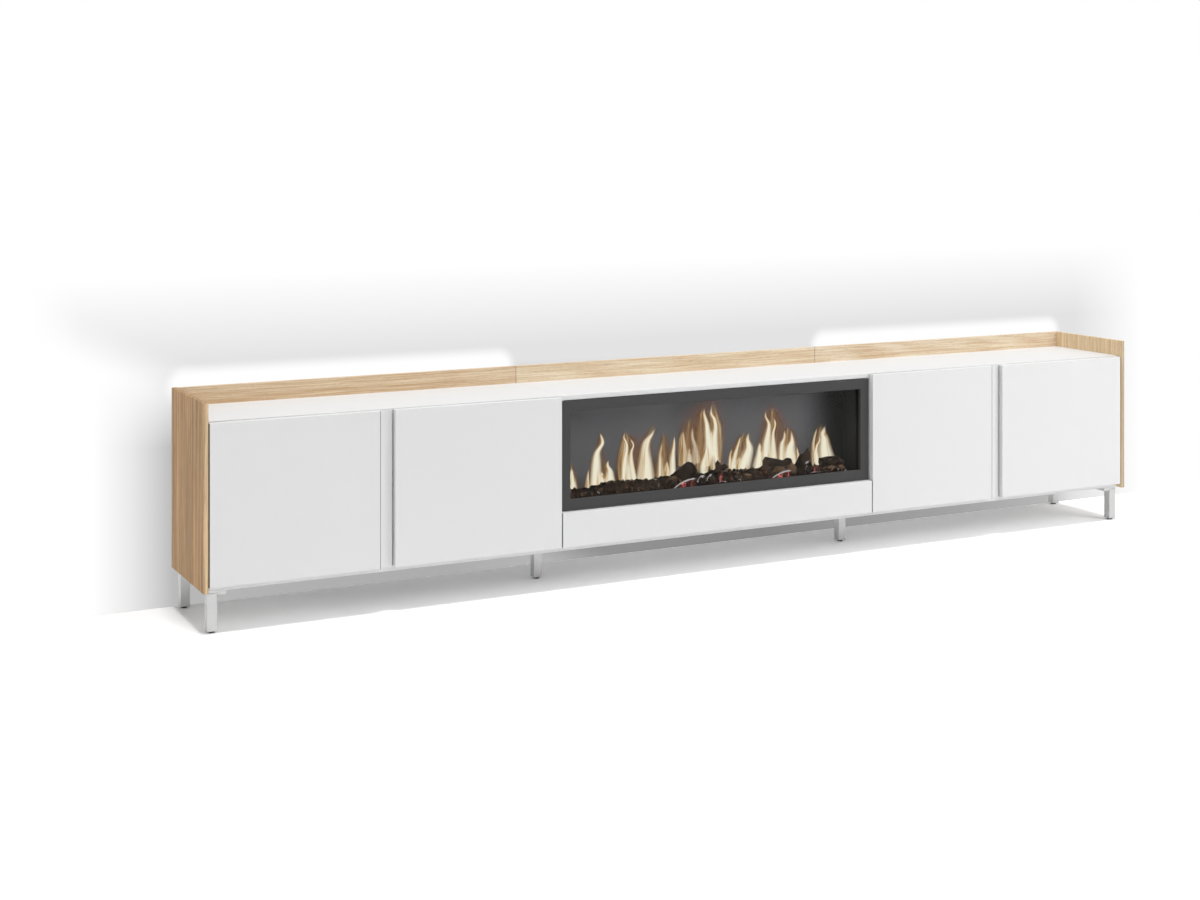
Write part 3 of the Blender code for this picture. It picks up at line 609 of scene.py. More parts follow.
COALS = 1500
COAL_SIZES, COAL_SQUASH = (2.4, 6.5), (0.7, 1.25)
ASHEN_SHARE, GLOWING_SHARE = 0.03, 0.025
dice = np.random.default_rng(11)
coal_x = dice.uniform(bed_low.x + 8 * MM, bed_high.x - 8 * MM, COALS)
coal_y = dice.uniform(bed_low.y + 4 * MM, bed_high.y - 6 * MM, COALS)
coal_size = dice.uniform(*COAL_SIZES, (COALS, 1)) * MM * dice.uniform(*COAL_SQUASH, (COALS, 3))
coal_z = coal_surface(coal_x, coal_y) + 0.2 * coal_size[:, 2]
shapes, faces = lump_shapes(np.stack([coal_x, coal_y, coal_z], axis=-1), coal_size, 12)
tint = np.zeros((COALS, shapes.shape[1], 4))
tint[..., 0] = (dice.uniform(0, 1, (COALS, 1)) > 1 - ASHEN_SHARE) * 0.55
tint[..., 1] = (dice.uniform(0, 1, (COALS, 1)) > 1 - GLOWING_SHARE) * 0.6
tint[..., 2] = dice.uniform(0, 1, (COALS, 1)) ** 3
points, faces = repeat(shapes, faces)
make_piece("loose_coals", points, faces, ember, "cabinet", "ember", tint.reshape(-1, 4))

# %% [markdown]
# Burnt logs
#
# Six short logs lie on the coals, in the places that the solid model gives them. A log is a profile
# turned about its axis: out across one sawn end, along the bark and in across the other end. The bark is
# furrowed by waves that are long along the log and short round it. The narrow end is the raised one.


# %% Turn the logs
LOG_CAP = 0.12
TAPER = 0.18
CLEFT = 0.16
FURROWS = ((9 * MM, 0.035), (26 * MM, 0.05))
SAW_WAVE, SAW_DEPTH = 14 * MM, 0.9 * MM


def burnt_log(middle, length, radius, turn, tilt, seed, rows=52, columns=44):
    """A turned profile with bark: radius R (1 - taper s) plus furrows and a cleft, with two domed ends."""
    along, around = grid(rows, columns)
    reach = np.clip(np.minimum(along, 1 - along) / LOG_CAP, 0, 1)
    s = np.clip((along - LOG_CAP) / (1 - 2 * LOG_CAP), 0, 1)
    angle = around * 2 * math.pi
    girth = radius * (1 - TAPER * s) * reach ** 0.8
    length_at = (s - 0.5) * length
    cross = np.stack([np.cos(angle) * radius, np.sin(angle) * radius, length_at * 0.25], axis=-1)
    furrow = sum(ripple(cross, wave, seed + extra) * rise for extra, (wave, rise) in enumerate(FURROWS))
    cleft = -CLEFT * np.clip(np.cos(angle - 0.9), 0, 1) ** 6
    girth = girth * (1 + (furrow + cleft) * reach)
    saw = np.stack([np.cos(angle) * girth, np.sin(angle) * girth, length_at * 0], axis=-1)
    length_at = length_at + ripple(saw, SAW_WAVE, seed + 2) * SAW_DEPTH * (reach < 1)
    local = np.stack([np.cos(angle) * girth, np.sin(angle) * girth, length_at], axis=-1)
    lift = math.pi / 2 - tilt
    x = local[..., 0] * math.cos(lift) + local[..., 2] * math.sin(lift)
    z = -local[..., 0] * math.sin(lift) + local[..., 2] * math.cos(lift)
    y = local[..., 1]
    turned = (x * math.cos(turn) - y * math.sin(turn), x * math.sin(turn) + y * math.cos(turn), z)
    world = np.stack(turned, axis=-1)
    # ash on top and round the sawn rims, glow underneath, brown on the sawn ends
    tint = np.zeros((rows, columns, 4))
    top = np.clip(world[..., 2] / radius, -1, 1)
    tint[..., 0] = 0.1 * np.clip(top, 0, 1) + 0.2 * (np.abs(reach - 0.95) < 0.06)
    tint[..., 1] = np.clip(-top - 0.25, 0, 1) * 0.9
    tint[..., 2] = 0.06 + 0.6 * (reach < 0.9) * (1 - reach * 0.4)
    return world + np.array(middle), quads(rows, columns), tint.reshape(-1, 4)


# %% Lay the six logs
LOG_LENGTH = 100 * MM
LOG_RADIUS = 28 * MM
LOG_SINK = 13 * MM
LOGS = (
    # place as a share of half the bed, length, radius, turn and tilt in degrees
    (-0.18, 0.75, 1.05, 14.0, 32.0),
    (-0.02, 0.60, 0.75, -38.0, 14.0),
    (0.44, 0.72, 0.95, -12.0, -12.0),
    (0.52, 0.60, 0.70, 40.0, 8.0),
    (0.64, 0.50, 0.80, 24.0, 52.0),
    (0.84, 0.72, 0.66, -10.0, 6.0),
)
half_bed = (bed_high.x - bed_low.x) / 2
bed_middle = (bed_low.y + bed_high.y) / 2
for number, (place, length_share, radius_share, turn, tilt) in enumerate(LOGS):
    log_x = place * half_bed
    log_radius = LOG_RADIUS * radius_share
    log_z = float(bed_height(log_x, bed_middle)) + log_radius - LOG_SINK
    points, faces, tint = burnt_log(
        (log_x, bed_middle, log_z), LOG_LENGTH * length_share, log_radius,
        math.radians(turn), math.radians(tilt), 20 + 3 * number,
    )
    make_piece("burnt_log_%d" % (number + 1), points, faces, ember, "cabinet", "ember", tint)

# %% [markdown]
# Glowing brands
#
# Against the glass and between the logs lie burnt-out pieces: an arched rim of pale ash above, crimson
# light with pink and orange spots in the face below. They are bent spheres like the coals, larger, laid
# along the bed, and their marks are painted by height.

# %% Brands with ash and glow
BRANDS = (
    # place along the bed, from the bed's front edge, height over a level just above the window's edge,
    # length to the left, to the right, half depth, half height (mm), ash, glow, brown
    (-62, 7, 4, 19, 17, 8, 18, 0.8, 0.3, 0.0),
    (-29, 7, 5, 15, 16, 8, 18, 0.8, 0.1, 0.1),
    (-46, 22, 26, 34, 32, 10, 9, 0.0, 0.0, 0.0),
    (12, 8, 13, 6, 7, 5, 21, 0.0, 0.85, 0.1),
    (14, 26, 34, 14, 15, 9, 27, 0.1, 0.2, 0.2),
    (-4, 30, 50, 9, 9, 6, 20, 0.1, 0.0, 0.1),
    (34, 34, 42, 18, 26, 8, 10, 0.5, 0.0, 0.1),
    (18, 3, -4, 14, 14, 3, 4, 1.0, 0.0, 0.0),
    (-160, 30, 12, 15, 15, 10, 13, 0.0, 0.3, 1.0),
    (-184, 26, 8, 12, 12, 9, 10, 0.0, 0.1, 0.8),
    (126, 12, 10, 15, 15, 8, 5, 0.2, 0.0, 1.0),
    (204, 30, 24, 22, 20, 10, 10, 0.0, 0.5, 0.2),
    (262, 20, 10, 30, 26, 10, 16, 0.0, 0.3, 0.8),
    (306, 12, 18, 18, 18, 9, 18, 0.1, 0.3, 0.9),
    (342, 8, 6, 18, 18, 9, 21, 0.2, 0.1, 0.0),
    (372, 12, 4, 9, 11, 8, 20, 0.6, 0.0, 0.0),
    (378, 14, 28, 13, 13, 8, 9, 1.0, 0.0, 0.0),
    (378, 24, 46, 16, 14, 8, 28, 0.1, 0.1, 0.2),
    (400, 7, 8, 6, 8, 5, 18, 0.0, 0.8, 0.0),
    (398, 3, -4, 19, 19, 3, 4, 1.0, 0.0, 0.0),
    (500, 28, 22, 30, 36, 10, 12, 0.3, 0.4, 0.1),
    (476, 14, 6, 16, 16, 9, 8, 0.0, 0.0, 1.0),
    (516, 14, 6, 14, 14, 8, 7, 0.1, 0.1, 0.9),
)
table = np.array(BRANDS)
BRAND_LEVEL = WINDOW_BOTTOM + 5 * MM
middle = table[:, :3] * MM + np.array([0.0, bed_low.y, BRAND_LEVEL])
looks = table[:, 7:]
unit, faces = lump_shapes(np.zeros((len(BRANDS), 3)), np.ones((len(BRANDS), 3)), 31, 0.0, 26, 30)
reach = np.where(unit[..., 0] < 0, table[:, 3:4], table[:, 4:5])
sizes = (reach, table[:, 5:6], table[:, 6:7])
shapes = np.stack([unit[..., way] * size for way, size in enumerate(sizes)], axis=-1) * MM
rough = 1 + 0.07 * ripple(shapes + middle[:, None, :], 11 * MM, 32)[..., None]
shapes = shapes * rough + middle[:, None, :]
tint = np.zeros((len(BRANDS), unit.shape[1], 4))
rim = np.clip(1.6 - 3.0 * np.abs(unit[..., 1]), 0, 1) * (unit[..., 2] > 0.05)
tint[..., 0] = looks[:, :1] * rim
tint[..., 1] = looks[:, 1:2] * np.clip((-unit[..., 1] - 0.2) * 3, 0, 1)
tint[..., 2] = looks[:, 2:]
points, faces = repeat(shapes, faces)
make_piece("glowing_brands", points, faces, ember, "cabinet", "ember", tint.reshape(-1, 4))

# %% [markdown]
# Split brands
#
# Two longer brands lie split side to the glass: a tapered wedge that glows from its foot, under a crust of
# ash that rises in an arch from the thin end and breaks off at the thick one. The wedge is a plain grid:
# along the brand, and round its soft rectangular section.

# %% Two split brands
SPLIT_ROWS, SPLIT_COLUMNS = 60, 48
HALF_THICKNESS = 5 * MM
CRUST = 3.4 * MM


def split_brand(left, right, foot, height, front):
    """Half height h sin(pi s / 2)^0.7 over the share s of the length; section |cos|^0.3, |sin|^0.3."""
    s, turn = grid(SPLIT_ROWS, SPLIT_COLUMNS)
    angle = turn * 2 * math.pi
    half = height / 2 * np.sin(math.pi / 2 * s) ** 0.7
    wide, tall = (np.sign(wave) * np.abs(wave) ** 0.3 for wave in (np.cos(angle), np.sin(angle)))
    x = left + (right - left) * s
    y = front + HALF_THICKNESS + HALF_THICKNESS * wide * (0.4 + 0.6 * s)
    z = foot + half + half * tall
    shape = np.stack([x, y, z], axis=-1)
    shape = shape + 0.5 * MM * ripple(shape, 9 * MM, 41)[..., None]
    shape[[0, -1]] = shape[[0, -1]].mean(axis=1, keepdims=True)
    crust = np.clip((tall * half - half + CRUST) / MM, 0, 1)
    marks = np.zeros((SPLIT_ROWS, SPLIT_COLUMNS, 4))
    marks[..., 0] = 1.2 * crust
    hearts = 0.75 * np.exp(-((s - 0.45) / 0.12) ** 2) + 0.4 * np.exp(-((s - 0.85) / 0.06) ** 2)
    marks[..., 1] = (1 - crust) * (0.55 + hearts)
    return shape.reshape(-1, 3), marks.reshape(-1, 4)


foot = WINDOW_BOTTOM - 8 * MM
brand_front = bed_low.y + 0.5 * MM
pair = [
    split_brand(left * MM, right * MM, foot, rise * MM, brand_front)
    for left, right, rise in ((-176, -92, 33), (214, 297, 28))
]
points, faces = repeat(np.stack([shape for shape, marks in pair]), quads(SPLIT_ROWS, SPLIT_COLUMNS))
tint = np.concatenate([marks for shape, marks in pair])
make_piece("split_brands", points, faces, ember, "cabinet", "ember", tint)

# %% [markdown]
# Flames
#
# A real insert throws the picture of a fire on its screen. Here each tongue is a thin curved sheet that
# shines by itself: a line across, carried up a bent spine and growing narrower to the tip. The spine and
# the width pass smoothly through a few stations. A tongue is nearly white in its middle and gold, then
# brown and see-through, at its edges and tip, with streaks that run up it. The marks carry the place
# across (red), the place up (green), how much of a faint veil it is (blue) and a number of its own
# (alpha), which gives each tongue other streaks. A veil over 1 is the dull haze round the tall flames.

# %% Flame light
HAZE = 1.4
STREAK_SCALE = (4.6, 30.0, 1.1)
STREAK_GAIN, STREAK_BASE = 3.6, -1.82
flame, tree, shader = start_material(
    "flame_light", Roughness=1.0, Specular_IOR_Level=0.0, Emission_Strength=1.1,
)
shader.inputs["Base Color"].default_value = linear("#000000")
marks = add(tree, "Attribute", {"attribute_name": "marks"}).outputs
own = marks["Alpha"]
marks = split(tree, "Color", marks["Color"])
across, up, veil = marks["Red"], marks["Green"], marks["Blue"]
licks = add(tree, "CombineXYZ", None, {0: sums(tree, "MULTIPLY_ADD", own, 40.0, across), 1: own, 2: up})
licks = add(tree, "Mapping", None, {"Vector": licks.outputs[0], "Scale": STREAK_SCALE}).outputs[0]
streak = noise(tree, licks, 1.0, 2.0, Distortion=0.5)
inside = sums(tree, "ABSOLUTE", sums(tree, "MULTIPLY_ADD", across, 2.0, -1.0))
inside = sums(tree, "SUBTRACT", 1.0, inside)
bright = sums(tree, "MULTIPLY_ADD", streak, STREAK_GAIN, STREAK_BASE)
for part, gain in ((inside, 1.3), (up, -0.35), (veil, -1.1)):
    bright = sums(tree, "MULTIPLY_ADD", part, gain, bright)
tone = mix(tree, soft_step(tree, bright, -0.6, 0.4), "#7C583A", "#CFA868")
tone = mix(tree, soft_step(tree, bright, -0.1, 0.95), tone, "#F7F1DA")
tone = mix(tree, ramp(tree, veil, 1.0, HAZE), tone, "#8A6656")
edge = soft_step(tree, inside, 0.0, 0.8)
tip = soft_step(tree, up, 1.0, 0.75)
thin = ramp(tree, veil, 0.0, 2.0, 1.0, 0.0)
feed(shader, Emission_Color=tone, Alpha=times(tree, edge, tip, thin))


# %% Carry a tongue up its spine
def smooth_through(knots, rows):
    """Catmull-Rom, b to c: 0.5 (2 b + (c - a) t + (2 a - 5 b + 4 c - d) t^2 + (3 b - a - 3 c + d) t^3)."""
    padded = np.vstack([2 * knots[0] - knots[1], knots, 2 * knots[-1] - knots[-2]])
    steps = np.linspace(0, len(knots) - 1, rows)
    start = np.minimum(steps.astype(int), len(knots) - 2)
    t = (steps - start)[:, None]
    a, b, c, d = (padded[start + shift] for shift in range(4))
    square, cube = 2 * a - 5 * b + 4 * c - d, 3 * b - a - 3 * c + d
    return 0.5 * (2 * b + (c - a) * t + square * t ** 2 + cube * t ** 3)


TONGUE_ROWS, TONGUE_COLUMNS = 40, 11
SOFT_EDGE = 1.3
BULGE = 1.5 * MM


def tongue(stations, veil, own, plane):
    """x = spine(v) + u w(v), z = height(v), y = plane - bulge (1 - u^2), with u across and v up."""
    v, u = grid(TONGUE_ROWS, TONGUE_COLUMNS)
    u = 2 * u - 1
    spine = smooth_through(np.reshape(stations, (-1, 3)) * MM, TONGUE_ROWS)
    x = spine[:, :1] + u * np.maximum(spine[:, 2:] * SOFT_EDGE, 0)
    z = spine[:, 1:2] + 0 * u
    y = plane - BULGE * (1 - u ** 2)
    marks = np.stack([(u + 1) / 2, v, np.full_like(u, veil), np.full_like(u, own)], axis=-1)
    return np.stack([x, y, z], axis=-1), marks


# %% [markdown]
# The fire, tongue by tongue
#
# Each row is a tongue: how much of a veil it is, then three numbers for each station from foot to tip:
# place along the unit, height over the floor and half width, in millimetres. The faintest come first in
# each group and stand furthest back. Two groups stand forward, among the logs. The haze stands behind.

# %% Table of tongues
FLAMES = {
    "flame_1": (
        (1.0, -516, 300, 34, -516, 350, 22, -515, 395, 0),
        (0.05, -516, 300, 24, -516, 340, 14, -515, 377, 0),
    ),
    "flame_2": (
        (1.0, -405, 300, 66, -405, 340, 52, -415, 400, 28, -405, 470, 8, -410, 500, 0),
        (0.3, -456, 296, 12, -455, 330, 7, -452, 368, 0),
        (0.15, -402, 296, 42, -402, 326, 26, -404, 356, 0),
        (0.05, -369, 296, 24, -373, 349, 15, -381, 370, 8, -377, 393, 0),
        (0.0, -427, 296, 23, -424, 379, 19, -420, 418, 13, -401, 447, 9, -405, 471, 6, -413, 487, 0),
    ),
    "flame_3": (
        (1.0, -298, 306, 54, -304, 380, 44, -300, 440, 34, -310, 490, 0),
        (0.55, -319, 306, 18, -325, 371, 18, -319, 423, 15, -316, 469, 3, -316, 482, 0),
        (0.4, -297, 304, 34, -297, 345, 24, -298, 380, 13, -298, 412, 0),
        (0.15, -278, 304, 15, -289, 368, 11, -291, 407, 8, -282, 430, 5, -288, 446, 4, -294, 457, 0),
        (0.1, -316, 304, 15, -315, 370, 11, -307, 422, 7, -310, 443, 6, -319, 462, 5, -313, 479, 0),
    ),
    "flame_4": (
        (1.0, -233, 305, 52, -235, 370, 42, -236, 430, 28, -212, 475, 16, -190, 505, 0),
        (0.0, -233, 302, 40, -233, 363, 28, -234, 411, 19, -227, 442, 16, -211, 461, 9, -190, 491, 0),
    ),
    "flame_5": (
        (1.0, -156, 305, 52, -158, 380, 36, -160, 440, 18, -165, 470, 0),
        (0.35, -150, 306, 28, -150, 340, 15, -150, 372, 0),
        (0.45, -175, 304, 16, -175, 359, 13, -173, 398, 10, -167, 447, 0),
        (0.1, -127, 304, 15, -128, 385, 12, -123, 421, 7, -120, 459, 0),
    ),
    "flame_6": (
        (1.0, -60, 345, 50, -66, 410, 44, -62, 470, 34, -60, 515, 0),
        (0.45, -82, 345, 24, -85, 406, 20, -88, 442, 13, -85, 471, 0),
        (0.35, -56, 345, 26, -58, 380, 16, -62, 410, 0),
        (0.3, -29, 350, 18, -40, 407, 14, -51, 442, 11, -46, 487, 0),
    ),
    "flame_7": (
        (1.0, -18, 330, 46, -26, 426, 34, -29, 475, 32, -30, 520, 24, -20, 552, 0),
        (0.8, 26, 330, 30, 33, 426, 30, 33, 474, 30, 24, 512, 22, 18, 572, 0),
        (0.2, 12, 322, 40, 12, 370, 30, 10, 430, 16, 6, 480, 0),
        (0.05, 24, 322, 20, 21, 426, 15, 24, 475, 12, 18, 505, 11, 8, 525, 7, 13, 566, 0),
        (0.0, -7, 318, 38, -1, 404, 21, -6, 453, 14, -11, 490, 12, -21, 527, 7, -15, 548, 0),
    ),
    "flame_8": (
        (1.0, 142, 306, 52, 146, 360, 48, 152, 410, 34, 164, 452, 0),
        (0.35, 136, 304, 44, 138, 332, 30, 142, 362, 0),
        (0.35, 106, 304, 12, 105, 354, 9, 111, 395, 0),
        (0.25, 114, 304, 20, 116, 341, 15, 125, 377, 13, 140, 413, 7, 147, 434, 0),
        (0.0, 157, 304, 26, 168, 349, 28, 180, 385, 20, 174, 420, 10, 184, 448, 0),
    ),
    "flame_9": (
        (1.0, 268, 330, 62, 268, 402, 52, 281, 456, 48, 280, 500, 26, 280, 528, 0),
        (0.2, 246, 312, 48, 250, 350, 38, 252, 384, 0),
        (0.0, 221, 312, 26, 227, 362, 17, 225, 408, 0),
        (0.15, 283, 330, 20, 281, 388, 13, 280, 429, 9, 288, 455, 7, 288, 472, 6, 279, 492, 0),
        (0.05, 256, 330, 21, 254, 390, 19, 262, 444, 11, 262, 468, 8, 249, 494, 6, 255, 522, 0),
    ),
    "flame_10": (
        (1.0, 345, 312, 60, 345, 370, 46, 345, 420, 34, 345, 455, 0),
        (0.1, 350, 308, 44, 350, 345, 36, 352, 378, 0),
        (0.15, 318, 312, 17, 320, 385, 13, 331, 411, 8, 328, 444, 0),
        (0.2, 385, 300, 12, 386, 339, 9, 380, 382, 0),
        (0.0, 352, 308, 29, 352, 369, 24, 360, 401, 12, 356, 442, 0),
    ),
    "flame_11": (
        (1.0, 486, 306, 56, 482, 360, 42, 480, 410, 28, 490, 455, 0),
        (0.3, 460, 296, 13, 454, 347, 9, 454, 383, 7, 462, 415, 5, 472, 441, 0),
        (0.0, 510, 315, 40, 503, 357, 29, 500, 396, 20, 496, 418, 13, 506, 447, 0),
        (0.1, 473, 294, 19, 463, 346, 10, 467, 373, 7, 480, 392, 5, 473, 413, 0),
    ),
    "flame_12": (
        (0.15, -48, 327, 8, -48, 336, 20, -46, 362, 21, -40, 400, 12, -36, 440, 0),
        (0.3, -13, 338, 6, -13, 345, 12, -13, 366, 11, -9, 396, 0),
    ),
    "flame_haze_left": (
        (HAZE, -272, 306, 60, -274, 380, 58, -272, 430, 46, -268, 484, 0),
    ),
    "flame_haze_centre": (
        (HAZE, -30, 330, 66, -35, 383, 80, -27, 467, 92, -20, 523, 80, -5, 556, 54, 2, 600, 0),
    ),
    "flame_haze_right": (
        (HAZE, 300, 330, 66, 302, 386, 80, 298, 436, 74, 286, 481, 58, 277, 518, 34, 274, 548, 0),
    ),
}

# %% Hang the tongues in their planes
SCREEN_GAP = 1.5 * MM
BACK_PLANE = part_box("flame_screen")[0].y - SCREEN_GAP
FRONT_PLANE = bed_middle + 17 * MM
PLANES = {
    "flame_7": FRONT_PLANE,
    "flame_12": bed_middle - 32 * MM,
    "flame_haze_left": BACK_PLANE + 0.8 * MM,
    "flame_haze_centre": FRONT_PLANE + 2 * MM,
    "flame_haze_right": BACK_PLANE + 0.8 * MM,
}
LAYER = 0.5 * MM
for name, rows in FLAMES.items():
    plane = PLANES.get(name, BACK_PLANE)
    sheets = [
        tongue(stations, veil, (layer + 0.5) / 8, plane - LAYER * layer)
        for layer, (veil, *stations) in enumerate(rows)
    ]
    points = np.stack([sheet.reshape(-1, 3) for sheet, marks in sheets])
    points, faces = repeat(points, quads(TONGUE_ROWS, TONGUE_COLUMNS))
    tint = np.concatenate([marks.reshape(-1, 4) for sheet, marks in sheets])
    make_piece(name, points, faces, flame, "cabinet", "light_strip", tint, False)

# %% [markdown]
# Doors and flap with eased edges
#
# The fronts are fibreboard. Before it is sprayed, every edge is eased to a small radius, because lacquer
# pulls away from a sharp corner. That radius draws the thin bright line round each front. Each front is a
# rectangle carried through its thickness: it grows to full size along a quarter circle, stays, and
# shrinks again.

# %% Eased fronts
EASE = 1.4 * MM


def eased_front(low, high, radius, steps=6):
    """Rectangle inset by r (1 - sin a), at a depth of r (1 - cos a) from each face, a from 0 to pi / 2."""
    angle = np.linspace(0, math.pi / 2, steps)
    inset = radius * (1 - np.sin(angle))
    depth = radius * (1 - np.cos(angle))
    inset = np.concatenate([inset, inset[::-1]])[:, None]
    y = np.concatenate([low.y + depth, high.y - depth[::-1]])[:, None]
    x = np.hstack([low.x + inset, high.x - inset, high.x - inset, low.x + inset, low.x + inset])
    z = np.hstack([low.z + inset, low.z + inset, high.z - inset, high.z - inset, low.z + inset])
    points = np.stack([x, y + 0 * x, z], axis=-1)
    last = 5 * (2 * steps - 1)
    caps = np.array([[0, 1, 2, 3], [last + 3, last + 2, last + 1, last]])
    return points, np.vstack([quads(2 * steps, 5), caps])


for name in ("door_1", "door_2", "door_3", "door_4", "flap"):
    points, faces = eased_front(*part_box(name), EASE)
    front = make_piece(name + "_eased", points, faces, lacquer, name, "white_lacquer")
    front.data.shade_flat()
    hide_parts(name)

# %% [markdown]
# Small straight parts
#
# Seals, joint lines, plates and screws are all an outline carried along a path. The outline is a
# superellipse: power 2 gives a circle, and power 8 a rectangle with soft corners. A list of sizes along
# the path turns the same thing into a dome or a cup.


# %% Outline, carry and join
def outline(width, height, power=2.0, count=16):
    """A superellipse: half size times |cos t| or |sin t| to the power 2 / p, with the sign of cos or sin."""
    t = np.linspace(0, 2 * math.pi, count + 1)
    a = np.sign(np.cos(t)) * np.abs(np.cos(t)) ** (2 / power) * width / 2
    b = np.sign(np.sin(t)) * np.abs(np.sin(t)) ** (2 / power) * height / 2
    return np.stack([a, b], axis=-1)


def carry(path, shape, side, up, sizes=None):
    """Carry an outline along a path, closed to a point at both ends: path + size (a(t) side + b(t) up)."""
    path = np.array(path, dtype=float)
    sizes = np.ones(len(path)) if sizes is None else np.array(sizes, dtype=float)
    path = np.vstack([path[:1], path, path[-1:]])
    sizes = np.concatenate([[0], sizes, [0]])[:, None, None]
    flat = shape[:, :1] * np.array(side, dtype=float) + shape[:, 1:] * np.array(up, dtype=float)
    return (path[:, None, :] + sizes * flat).reshape(-1, 3), quads(len(path), len(shape))


def join(parts):
    """Put parts together as one mesh."""
    starts = np.cumsum([0] + [len(points) for points, faces in parts])
    faces = np.vstack([faces + start for start, (points, faces) in zip(starts, parts)])
    return np.vstack([points for points, faces in parts]), faces


X, Y, Z = np.eye(3)

# %% [markdown]
# Painted gap shade and light, and joint lines
#
# A soft strip lies in each gap between a front and the carcass: white over the doors, as painted light,
# so that the shade there reads only as a faint line, and black at the sides, as painted shade, so that
# those gaps read as dark lines. The finger pulls are glued to doors 1 and 3, and a dark strip at each
# joint is painted shade. The rail is three lengths of board, butted over the fireplace's two ends.

# %% Lay the painted gap strips
TOP_GAP_LIGHT_ENDS = (0.6155, 1.7832)
SIDE_GAP_SHADES = ((1.782, -180 * MM, 3.4 * MM, 16 * MM), (0.615, -179 * MM, 3.2 * MM, 20 * MM))
board_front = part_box("top_board_left")[0].y
board_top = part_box("top_board_left")[1].z
front_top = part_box("door_1")[1].z
front_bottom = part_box("door_1")[0].z
parts = []
# painted light: white strips in the gaps over the doors, so those gaps read as faint lines
for ends in ([-x for x in TOP_GAP_LIGHT_ENDS[::-1]], TOP_GAP_LIGHT_ENDS):
    path = np.array([(x, board_front, board_top) for x in ends]) - (0, 0.95 * MM, 5.6 * MM)
    parts.append(carry(path, outline(1.7 * MM, 10 * MM, 8), Y, Z))
make_piece("top_gap_painted_light", *join(parts), gap_light_white, "cabinet", "white_board")

# painted shade: black strips in the gaps at the sides
parts = []
for (x, y, width, depth), high in zip(SIDE_GAP_SHADES, (front_top - 1 * MM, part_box("flap")[1].z)):
    for side in (-x, x):
        path = [(side, y, front_bottom + 1 * MM), (side, y, high)]
        parts.append(carry(path, outline(width, depth, 8), X, Y))
make_piece("side_gap_painted_shade", *join(parts), gap_shade_and_joint_black, "cabinet", "black_plastic")

# painted shade: a dark strip along each finger pull's joint with its door
for name, door in (("finger_pull_left", "door_1"), ("finger_pull_right", "door_3")):
    x = (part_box(name)[0].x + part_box(door)[1].x) / 2
    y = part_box(door)[0].y + 1.0 * MM
    line = carry([(x, y, front_bottom), (x, y, front_top)], outline(1.2 * MM, 2.3 * MM, 8), X, Y)
    make_piece("pull_joint_painted_shade_" + door, *line, gap_shade_and_joint_black, door, "black_plastic")

parts = []
rail_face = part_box("upstand_centre")[0].y
rail_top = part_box("upstand_centre")[1].z
shape = outline(0.9 * MM, 1.0 * MM, 8)
for name in ("upstand_left", "upstand_centre"):
    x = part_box(name)[1].x
    y = rail_face + 0.4 * MM
    z = rail_top - 0.4 * MM
    parts.append(carry([(x, y, board_top), (x, y, rail_top)], shape, X, Y))
    parts.append(carry([(x, rail_face + 0.5 * MM, z), (x, rail_face + 15.5 * MM, z)], shape, X, Z))
make_piece("rail_joints", *join(parts), gap_shade_and_joint_black, "cabinet", "black_plastic")

# %% [markdown]
# Screws
#
# Pan-head screws hold the leg plates, the back sheets and the back of the fireplace. A head is an outline
# carried up its axis with sizes that follow a quarter circle. Its slot is left out: it is smaller than a
# pixel at any distance from which the whole unit shows.


# %% Drive the screws
def screw_heads(places, way, across, up, radius):
    """Domes: size sqrt(1 - h^2) over the height h from 0 to 1, at each place, rising along way."""
    height = np.array([0, 0.35, 0.6, 0.8, 0.93])
    sizes = np.sqrt(1 - height ** 2)
    lift = np.concatenate([[0], height])[:, None] * radius * 0.55 * np.array(way)
    ring = outline(2 * radius, 2 * radius, 2, 12)
    return [carry(np.array(place) + lift, ring, across, up, [1, *sizes]) for place in places]


def spread(low, high, step):
    """Places from low to high, evenly spaced by about a step."""
    return np.linspace(low, high, int(round((high - low) / step)) + 1)


OUTER_TUBE, INNER_TUBE = 1.765, 0.615
parts = []
for name in nodes:
    if name.startswith("leg_"):
        low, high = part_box(name)
        tube = math.copysign(OUTER_TUBE if abs(low.x) > 1 else INNER_TUBE, low.x)
        for x in (low.x + 10 * MM, high.x - 10 * MM):
            if abs(x - tube) > 18 * MM:
                rows = ((low.y + high.y) / 2 - 8 * MM, (low.y + high.y) / 2 + 8 * MM)
                parts += screw_heads([(x, y, high.z - 13 * MM) for y in rows], -Z, X, -Y, 3.5 * MM)
make_piece("leg_screws", *join(parts), nickel, "cabinet", "hinge_nickel")

parts = []
EDGE = 12 * MM
for name in ("back_panel_left", "back_panel_centre", "back_panel_right"):
    low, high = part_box(name)
    columns = spread(low.x + EDGE, high.x - EDGE, 230 * MM)
    rows = spread(low.z + EDGE, high.z - EDGE, 225 * MM)[1:-1]
    places = [(x, high.y, z) for x in columns for z in (low.z + EDGE, high.z - EDGE)]
    places += [(x, high.y, z) for x in (low.x + EDGE, high.x - EDGE) for z in rows]
    parts += screw_heads(places, Y, X, Z, 3.2 * MM)
make_piece("back_screws", *join(parts), nickel, "cabinet", "hinge_nickel")
